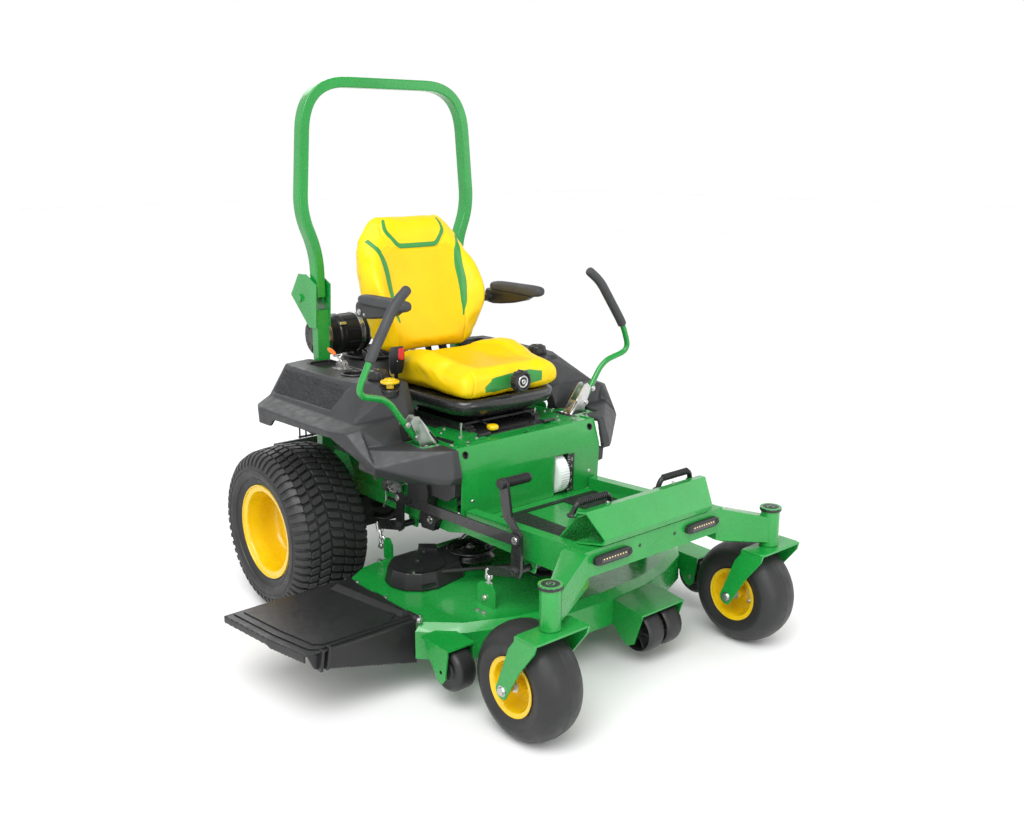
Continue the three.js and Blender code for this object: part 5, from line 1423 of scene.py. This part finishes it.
def lift_parts():
    x = -LIFT_X
    grip = Shape()
    profile = [(0, -96), (13, -96), (15.5, -93)]
    for k in range(10):
        z = -88 + k * 8.4
        profile += [(16.4, z), (16.4, z + 4.6), (14.4, z + 5.6), (14.4, z + 7.4)]
    profile += [(16, 0), (13, 1), (0, 1)]
    grip.turned([(r, -a) for r, a in profile][::-1], "x", (-336, -995, 668), 32)
    grip.turned([(0, -14), (15, -14), (17, -12), (17, 0), (0, 0)], "x", (-350, -995, 668), 32)
    make("lift_pedal_grip", grip, "lift_pedal", [RUBBER], angle=34)
    pins = Shape()
    pins.turned([(0, -17), (11, -17), (12.5, -15), (12.5, -12), (0, -12)], "x", (x, -1061, 502), 32)
    pins.turned([(0, 5), (17, 5), (18, 7), (18, 12), (15, 14), (0, 14)], "x", (x, -1040, 500), 32, look=1)
    pins.bolt((x - 5, -995, 668), (-1, 0, 0), 9, 8, look=1)
    pins.bolt((x - 5, -1053, 395), (-1, 0, 0), 13, 9, look=1)
    make("lift_pedal_pins", pins, "lift_pedal", [ZINC, BLACK_PAINT], angle=36)
    crank = Shape()
    crank.turned([(0, -18), (10, -18), (12, -16), (12, -12), (0, -12)], "x", (x, -432, 483), 32)
    crank.bolt((x - 5, -425, 376), (-1, 0, 0), 12, 9, look=1)
    make("lift_crank_pins", crank, "lift_crank", [ZINC, BLACK_PAINT], angle=36)
    chains = Shape()
    for s in (1, -1):
        chain(chains, (LIFT_X * s, -922, 358), (350 * s, -918, 266), pitch=26, wire=5)
        chain(chains, (LIFT_X * s, -290, 346), (350 * s, -322, 270), pitch=26, wire=5)
        for y, z in ((-918, 268), (-324, 272)):
            chains.bolt((362 * s, y, z), (s, 0, 0), 8, 8)
            chains.rod((338 * s, y, z), (364 * s, y, z), 5, 16)
    make("lift_chains", chains, "deck", [ZINC])
    brake = Shape()
    brake.plate([(-290, 508), (-330, 520), (-395, 516), (-404, 488), (-372, 466), (-300, 470), (-284, 488)],
                "x", -322, -314)
    brake.plate([(-300, 500), (-344, 506), (-352, 480), (-310, 476)], "x", -336, -330)
    for y, z in ((-300, 494), (-328, 506), (-362, 504), (-388, 498), (-356, 480), (-318, 482)):
        brake.bolt((-322, y, z), (-1, 0, 0), 7, 9)
    brake.rod((-338, -340, 492), (-306, -340, 492), 8, 20)
    brake.tube(rounded_path([(-318, -400, 512), (-330, -447, 532), (-332, -521, 526), (-330, -540, 480),
                             (-326, -560, 424), (-318, -584, 424)], 9, 5), 3.2, 10)
    brake.tube(rounded_path([(-318, -300, 480), (-330, -320, 440), (-330, -300, 410)], 12, 4), 2.6, 10)
    make("brake_linkage", brake, "frame", [ZINC], bevel=0.6)
    box = Shape()
    box.plate([(-596, 470), (-500, 470), (-492, 500), (-492, 596), (-600, 596), (-610, 540)], "x", -356, -312)
    box.plate([(-604, 400), (-540, 396), (-520, 430), (-540, 466), (-600, 466), (-622, 440)], "x", -332, -306,
              look=1)
    box.bolt((-332, -588, 436), (-1, 0, 0), 11, 7, look=2)
    box.tube(rounded_path([(-318, -480, 470), (-318, -440, 452), (-312, -400, 440), (-306, -300, 438)], 14, 4),
             6.5, 14, look=1)
    make("step_box", box, "frame", [BLACK_PLASTIC, BLACK_PAINT, ZINC], bevel=1.6)


# ------------------------------------------------------------------ cutting deck
def deck_parts():
    for side, s in SIDES:
        cover = moulded("belt_cover_" + side, "belt_cover_fine_" + side, 0.003, 4)
        dress(cover, "deck", [BLACK_PLASTIC], angle=50, replaces=("belt_cover_" + side,))
        extra = Shape()
        cx, cy = SPINDLE_X * s, SPINDLE_Y
        extra.turned([(84, 299), (92, 300), (96, 302.5), (92, 303.5), (70, 303.5), (0, 303.5), (0, 299)], "z",
                     (cx, cy, 0), 72)
        extra.turned([(0, 303), (10, 303), (11, 304), (11, 306), (8, 308), (0, 308)], "z", (cx, cy, 0), 32)
        extra.bolt((cx, cy, 307), (0, 0, 1), 5, 3, look=1)
        extra.rings([[(cx + s * (52 + 30 * a), cy - 60 + 8 * b, z) for a,
                      b in ((-1, -1), (1, -1), (1, 1), (-1, 1))] for z in (303, 305)])
        ear = [(282, -560), (330, -508), (300, -470), (252, -512)]
        extra.rings([[(x * s, y, z) for x, y in ear]
                     for z in (262, 302)] + [[((x * 0.94 + 18) * s, y * 0.96 - 21, 309) for x, y in ear]])
        extra.bolt((cx + 66 * s, cy - 66, 300), (0, 0, 1), 6, 6, look=1)
        extra.bolt((cx - 70 * s, cy + 62, 300), (0, 0, 1), 6, 6, look=1)
        slot_mid = Vector((cx + 40 * s, cy - 104, 262))
        extra.block(tuple(sorted((slot_mid.x - 30, slot_mid.x + 30))), (slot_mid.y - 13, slot_mid.y - 8),
                    (258, 266), look=2)
        make("belt_cover_details_" + side, extra, "deck", [BLACK_PLASTIC, ZINC, LENS],
             bevel=1.0)
    drive = Shape()
    for x, y, r in ((-172, -607, 84), (190, -560, 60), (0, CENTRE_Y, 66)):
        drive.turned([(12, 276), (26, 275), (40, 286), (r * 0.72, 284), (r * 0.82, 276), (r - 8, 276), (r, 272),
                      (r + 1, 274), (r - 7, 282), (r - 12, 288),
                      (r - 7, 294), (r + 1, 302), (r, 304), (r - 8, 301), (r * 0.82, 300), (r * 0.72, 291),
                      (44, 292), (30, 300), (20, 304), (12, 304)], "z", (x, y, 0), 72, ring=True)
        drive.rod((x, y, 238), (x, y, 308), 12, 24)
        drive.bolt((x, y, 306), (0, 0, 1), 11, 9, look=1)
    path = [(-458, -560), (-470, -640), (-400, -676), (0, -880), (400, -676), (470, -640), (458, -560),
            (395, -528), (190, -622), (60, -560), (-172, -520), (-395, -528)]
    loop = rounded_path([(x, y, 288) for x, y in path + path[:2]], 46, 6)[7:-1]
    drive.tube(loop[:-6], 6.5, 10, look=2, closed=True)
    idler = [(-186, -590), (-150, -600), (-96, -470), (-120, -452)]
    drive.plate(idler, "z", 262, 269, look=0)
    drive.tube(rounded_path([(-108, -462, 270), (-60, -440, 276), (60, -430, 276), (96, -440, 270)], 20, 4), 7,
               14, look=1)
    make("deck_drive", drive, "deck", [BLACK_PAINT, ZINC, BELT], angle=36)
    spindles = Shape()
    for x, y in ((-SPINDLE_X, SPINDLE_Y), (SPINDLE_X, SPINDLE_Y), (0, CENTRE_Y)):
        spindles.turned([(0, 239), (78, 239), (80, 243), (76, 246), (46, 248), (40, 256), (38, 270), (20, 272),
                         (0, 272)], "z", (x, y, 0), 56)
        for q in turn(6):
            q += 0.3
            spindles.bolt((x + 64 * math.cos(q), y + 64 * math.sin(q), 245), (0, 0, 1), 7, 6, look=1)
    make("deck_spindles", spindles, "deck", [CAST, ZINC], angle=36)
    hardware = Shape()
    for s in (1, -1):
        hardware.bolt((SIDE_ROLLER[0] * s - 47, *SIDE_ROLLER[1:]), (-1, 0, 0), 8, 6)
        hardware.bolt((SIDE_ROLLER[0] * s + 47, *SIDE_ROLLER[1:]), (1, 0, 0), 8, 6)
        for y in (-960, -930, -372):
            hardware.bolt((400 * s, y, 241), (0, 0, 1), 7, 5)
    hardware.bolt((50, *FRONT_ROLLER), (-1, 0, 0), 9, 7)
    hardware.bolt((224, *FRONT_ROLLER), (1, 0, 0), 9, 7)
    make("deck_bolts", hardware, "deck", [ZINC])


def rollers():
    for side, s in SIDES:
        r = Shape()
        r.turned([(13, -36), (30, -36), (34, -33), (50, -33), (56, -36), (63, -33), (68.5, -26), (70, -16),
                  (70, 16), (68.5, 26), (63, 33), (56, 36), (50, 33), (34, 33), (30, 36), (13, 36)],
                 "x", (SIDE_ROLLER[0] * s, *SIDE_ROLLER[1:]), 72, ring=True)
        r.rod((SIDE_ROLLER[0] * s - 42, *SIDE_ROLLER[1:]), (SIDE_ROLLER[0] * s + 42, *SIDE_ROLLER[1:]), 10, 20)
        make("roller_fine_" + side, r, "roller_" + side, [RUBBER], angle=36,
             replaces=("roller_" + side,))
    r = Shape()
    for mid in (93, 181):
        half = 38
        r.turned([(60, half - 16), (61, half - 4), (64, half - 1), (68, half - 6), (71, half - 14),
                  (72, half - 24), (72, 24 - half), (71, 14 - half),
                  (68, 6 - half), (64, 1 - half), (61, 4 - half), (60, 16 - half)], "x", (mid, *FRONT_ROLLER),
                  80, ring=True)
        r.turned([(11, -33), (22, -33), (23, -31), (23, 31), (22, 33), (11, 33)], "x", (mid, *FRONT_ROLLER), 40,
                 ring=True)
        for q in turn(6):
            c, t = Vector((0, math.cos(q), math.sin(q))), Vector((0, -math.sin(q), math.cos(q)))
            m = Vector((mid, *FRONT_ROLLER))
            r.rings([[m + c * d + t * w + Vector((a, 0, 0)) for a,
                      w in ((-24, -4), (24, -4), (24, 4), (-24, 4))] for d in (20, 62)])
    r.rod((54, *FRONT_ROLLER), (220, *FRONT_ROLLER), 10, 20)
    r.rod((124, *FRONT_ROLLER), (150, *FRONT_ROLLER), 20, 28)
    make("roller_fine_centre", r, "roller_centre", [RUBBER], angle=36,
         replaces=("roller_centre",))


def discharge_chute():
    chute = moulded("discharge_chute", "chute_fine", 0.003, 4)
    dress(chute, "chute", [BLACK_PLASTIC], angle=50, replaces=("discharge_chute",))
    steps = Shape()
    steps.plate([(-606, -472), (-1018, -480), (-995, -694), (-966, -846), (-938, -866), (-606, -866)], "z",
                251.5, 256)
    steps.plate([(-606, -484), (-992, -494), (-970, -688), (-942, -832), (-918, -852), (-606, -852)], "z",
                255.5, 260)
    base = [(-694, -518), (-612, -496), (-612, -846), (-640, -846)]
    top = [(-668, -524), (-616, -506), (-616, -838), (-628, -838)]
    steps.rings([[(x, y, 259) for x, y in base], [(x, y, 274) for x, y in top]])
    for (xa, za), (xb, zb) in (((-930, 196), (-918, 258)), ((-950, 200), (-942, 254))):
        steps.rings([[(xa, y, 190), (xa + 9, y, 190), (xb + 9, y, zb), (xb, y, zb)] for y in (-884, -860)])
    steps.tube(rounded_path([(-656, -790, 262), (-640, -822, 262), (-676, -846, 262)], 12, 4), 1.6, 8)
    make("chute_steps", steps, "chute", [BLACK_PLASTIC], bevel=2.0, angle=40)
    hinge = Shape()
    for y0, y1 in ((-884, -862), (-826, -816), (-692, -682), (-636, -626), (-516, -508)):
        hinge.rod((-598, y0, 250), (-598, y1, 250), 10, 24, look=1)
    hinge.rod((-598, -888, 250), (-598, -460, 250), 4.5, 16)
    hinge.bolt((-598, -888, 250), (0, -1, 0), 8, 7)
    for y in (-850, -660, -490):
        hinge.bolt((-572, y, 241), (0, 0, 1), 7, 6)
    make("chute_hinge", hinge, "deck", [ZINC, BLACK_PAINT], angle=36)


front_panel_parts()
floor_parts()
light_bars()
seat_deck_parts()
lift_parts()
deck_parts()
rollers()
discharge_chute()


# ------------------------------------------------------------------ engine, drive units and rear guard
def engine_details():
    grille = Shape()
    centre = BLOWER
    for r in (28, 46, 64, 82, 100, 118, 136):
        grille.turned([(r - 2.2, 872), (r - 1.6, 876), (r + 1.6, 876), (r + 2.2, 872)], "z", (*centre, 0), 56,
                      ring=True)
    for q in turn(16):
        a, b = (Vector((centre[0] + r * math.cos(q), centre[1] + r * math.sin(q), 874)) for r in (20, 140))
        grille.rod(a, b, 2.0, 6)
    grille.turned([(0, 872), (26, 872), (26, 876), (20, 878), (0, 878)], "z", (*centre, 0), 40)
    grille.turned([(142, 862), (150, 868), (150, 875), (143, 877), (138, 872)], "z", (*centre, 0), 72,
                  ring=True)
    for q in turn(8):
        grille.bolt((centre[0] + 190 * math.cos(q), centre[1] + 190 * math.sin(q), 706),
                    (math.cos(q), math.sin(q), 0), 6, 8, look=1)
    for q in turn(24):
        c, t = Vector((math.cos(q), math.sin(q), 0)), Vector((-math.sin(q), math.cos(q), 0))
        m = Vector((*centre, 0))
        grille.rings([[m + c * (193.5 + d) + t * w + Vector((0, 0, z)) for d,
                       w in ((-6, -2.6), (3, -1.6), (3, 1.6), (-6, 2.6))] for z in (722, 786)])
    make("engine_screen", grille, "frame", [BLACK_PLASTIC, ZINC], bevel=0.5, angle=36)

    fins = Shape()
    for s in (1, -1):
        for k in range(10):
            z = 536 + k * 15
            fins.plate([(x * s, y) for x, y in ((112, 244), (112, 397), (226, 450), (236, 444), (240, 322),
                                                (230, 318))], "z", z, z + 3.2)
        fins.rings([[(s * x, 385 + a * u, 606 + b * v) for a,
                     b in ((-1, -1), (0, -1.15), (1, -1), (1.1, 0), (1, 1), (0, 1.15), (-1, 1), (-1.1, 0))]
                    for x, u, v in ((228, 46, 52), (250, 46, 52), (258, 38, 44), (260, 12, 14))], 1)
        for a in (-36, 36):
            for b in (-42, 42):
                fins.bolt((256 * s, 385 + a, 606 + b), (s, 0, 0), 5, 5, look=2)
        fins.tube(rounded_path([(236 * s, 330, 640), (268 * s, 312, 668), (230 * s, 262, 724),
                                (196 * s, 236, 744)], 26, 5), 3.6, 10, look=1)
        fins.rod((226 * s, 334, 636), (246 * s, 326, 648), 9, 18, look=1)
        # Intake pipe from the carburettor to each head.
        fins.tube(rounded_path([(40 * s, 300, 716), (96 * s, 348, 712), (168 * s, 372, 694)], 30, 6), 17, 20)
    make("engine_fins", fins, "frame", [CAST, BLACK_PAINT, ZINC], bevel=0.5)

    parts = Shape()
    parts.turned([(0, -52), (34, -52), (38, -46), (38, 20), (34, 26), (26, 30), (0, 30)], "y", (-96, 0, 520),
                 48)
    for q in turn(12):
        parts.rod((-96 + 36.5 * math.cos(q), -50, 520 + 36.5 * math.sin(q)),
                  (-96 + 36.5 * math.cos(q), -34, 520 + 36.5 * math.sin(q)), 2.4, 6)
    parts.tube(rounded_path([(140, 60, 560), (168, 44, 640), (172, 40, 720), (168, 36, 770)], 24, 5), 4.5, 12,
               look=1)
    parts.turned([(0, 768), (7, 768), (12, 772), (12, 782), (6, 786), (0, 786)], "z", (168, 36, 0), 24, look=2)
    parts.rod((60, 20, 500), (60, -44, 500), 30, 36, look=1)
    parts.rod((60, -40, 500), (60, -56, 500), 18, 28, look=1)
    parts.rod((92, 20, 512), (92, -20, 512), 16, 28, look=1)
    for x in (-120, -40, 40, 120):
        for y in (60, 360):
            parts.bolt((x, y, 466), (0, 0, 1), 8, 7, look=3)
    make("engine_fittings", parts, "frame", [BLACK_PAINT, CAST, YELLOW_PAINT, ZINC], bevel=0.6)


def air_cleaner_details():
    bands = Shape()
    for x in (-262, -112):
        bands.turned([(77.5, -9), (81, -9), (81.6, -7), (81.6, 7), (81, 9), (77.5, 9)], "x", (x, *CLEANER[1:]),
                     72, ring=True)
        bands.block((x - 8, x + 8), (262, 276), (992, 1012), look=0)
        bands.bolt((x + 9, 272, 1004), (1, 0, 0), 4.5, 12, look=0)
    for q in (0.4, 2.5, 4.6):
        c = Vector((0, math.cos(q), math.sin(q)))
        m = Vector((-200, 208, 962))
        t = Vector((0, -math.sin(q), math.cos(q)))
        bands.rings([[m + c * 83 + Vector((x, 0, 0)) + t * w for x,
                      w in ((-16, -8), (18, -8), (18, 8), (-16, 8))],
                     [m + c * 88 + Vector((x, 0, 0)) + t * w for x,
                      w in ((-12, -6), (14, -6), (14, 6), (-12, 6))]])
    make("air_cleaner_clamps", bands, "frame", [ZINC], bevel=0.6)
    ribs = Shape()
    for k in range(9):
        q = math.pi * (0.1 + 0.2 * k)
        c, m = Vector((0, math.cos(q), math.sin(q))), Vector(CLEANER)
        ribs.rod(m + c * 77 + Vector((-178, 0, 0)), m + c * 77 + Vector((-128, 0, 0)), 2.2, 8)
    ribs.turned([(0, -296), (30, -296), (34, -293), (34, -289), (0, -289)], "x", CLEANER, 40)
    for q in turn(10):
        c, m = Vector((0, math.cos(q), math.sin(q))), Vector(CLEANER)
        ribs.rod(m + c * 30 + Vector((-291, 0, 0)), m + c * 66 + Vector((-290, 0, 0)), 2.4, 8)
    ribs.turned([(0, -66), (34, -66), (40, -58), (40, -40), (34, -32), (0, -32)], "x", CLEANER, 48)
    ribs.tube(rounded_path([(-46, 208, 962), (24, 208, 962), (60, 232, 930), (56, 268, 880), (40, 300, 730)],
                           44, 7), 30, 28)
    for t in range(4):
        ribs.turned([(30, -3), (34, -3), (34, 3), (30, 3)], "x", (-30 + t * 12, 208, 962), 40, ring=True)
    make("air_cleaner_hose", ribs, "frame", [BLACK_PLASTIC], angle=40)


def rear_details():
    guard = Shape()
    for x in range(-180, 181, 30):
        guard.rod((x, 556, 462), (x, 556, 644), 4, 12)
    for z in (468, 556, 642):
        guard.rod((-186, 556, z), (186, 556, z), 5, 14)
    guard.tube(rounded_path([(-186, 556, 642), (-196, 500, 660), (-196, 400, 660)], 18, 5), 5, 12)
    guard.tube(rounded_path([(186, 556, 642), (196, 500, 660), (196, 400, 660)], 18, 5), 5, 12)
    make("muffler_guard", guard, "frame", [BLACK_PAINT], angle=40)
    can = Shape()
    for x in (-110, 110):
        can.turned([(62, -8), (64.5, -8), (65, -6), (65, 6), (64.5, 8), (62, 8)], "x", (x, *MUFFLER), 56,
                   ring=True)
    for x in (-166, 166):
        can.turned([(60, -3), (64, -3), (65, 0), (64, 3), (60, 3)], "x", (x, *MUFFLER), 56, ring=True)
    can.rod((-120, 470, 580), (-120, 540, 566), 15, 24)
    can.turned([(15, 0), (18, 0), (18, 16), (15, 16)], "y", (-120, 380, 580), 28, ring=True)
    make("muffler_bands", can, "frame", [CAST], angle=36)
    hitch = Shape()
    hitch.plate([(-60, 408), (60, 408), (60, 440), (40, 458), (-40, 458), (-60, 440)], "y", 566.4, 572)
    for x in (-46, 46):
        hitch.bolt((x, 572, 426), (0, 1, 0), 8, 7, look=1)
    hitch.turned([(11, 566), (16, 566), (16, 576), (11, 576)], "y", (0, 0, 432), 32, look=1, ring=True)
    for s in (1, -1):
        for y in (486, 530):
            hitch.bolt((302.5 * s, y, 433), (s, 0, 0), 9, 8, look=1)
    make("rear_brace_plate", hitch, "frame", [GREEN, ZINC], bevel=0.6)
    units = Shape()
    for side, s in SIDES:
        for k in range(7):
            x = (140 + k * 20) * s
            units.plate([(-80, 266), (66, 266), (66, 376), (-68, 376)], "x", *span(x, x + 4 * s))
        units.turned([(0, 384), (22, 384), (22, 398), (16, 402), (0, 402)], "z", (160 * s, -10, 0), 32, look=1)
        units.turned([(64, 392), (68, 392), (68, 402), (64, 402)], "z", (160 * s, -10, 0), 56, look=1,
                     ring=True)
        for q in turn(9):
            c, t = Vector((math.cos(q), math.sin(q), 0)), Vector((-math.sin(q), math.cos(q), 0))
            m = Vector((160 * s, -10, 0))
            units.rings([[m + c * r + t * (w + lean) + Vector((0, 0, z)) for r,
                          w in ((20, -2), (65, -2), (65, 2), (20, 2))] for z, lean in ((388, -6), (400, 6))], 1)
        for y, z in ((-86, 300), (-86, 340)):
            units.rod((230 * s, y, z), (230 * s, y - 12, z), 12, 6, look=2)
        units.tube(rounded_path([(230 * s, -92, 340), (230 * s, -150, 350), (200 * s, -190, 420),
                                 (120 * s, -196, 470), (60 * s, -180, 500)], 40, 6), 11, 16, look=1)
        units.tube(rounded_path([(230 * s, -92, 300), (226 * s, -176, 310), (180 * s, -222, 380),
                                 (100 * s, -226, 480), (50 * s, -206, 520)], 40, 6), 11, 16, look=1)
        units.turned([(0, 440), (38, 440), (40, 446), (40, 560), (34, 568), (0, 568)], "z", (46 * s, -196, 0),
                     44, look=1)
    make("drive_unit_details", units, "frame", [CAST, BLACK_PLASTIC, ZINC], bevel=0.5)


engine_details()
air_cleaner_details()
rear_details()


# ------------------------------------------------------------------ the rest of the CAD nodes
LOOKS = {"green_paint": GREEN, "grey_plastic": GREY_PLASTIC, "black_steel": BLACK_PAINT,
         "black_plastic": BLACK_PLASTIC,
         "engine_metal": CAST, "yellow_vinyl": VINYL, "grey_foam": FOAM, "yellow_plastic": YELLOW_PAINT,
         "zinc": ZINC,
         "white_plastic": WHITE, "blade_steel": CAST, "roller_rubber": RUBBER, "rim_yellow": YELLOW_PAINT,
         "tyre_rubber": TYRE}
stood_for = {n for o in bpy.data.objects for n in (o.get("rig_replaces") or [])}
for entry in frame["record"]["subparts"]:
    if entry["node"] not in stood_for:
        polish(entry["node"], [LOOKS[entry["material_slot"]]])
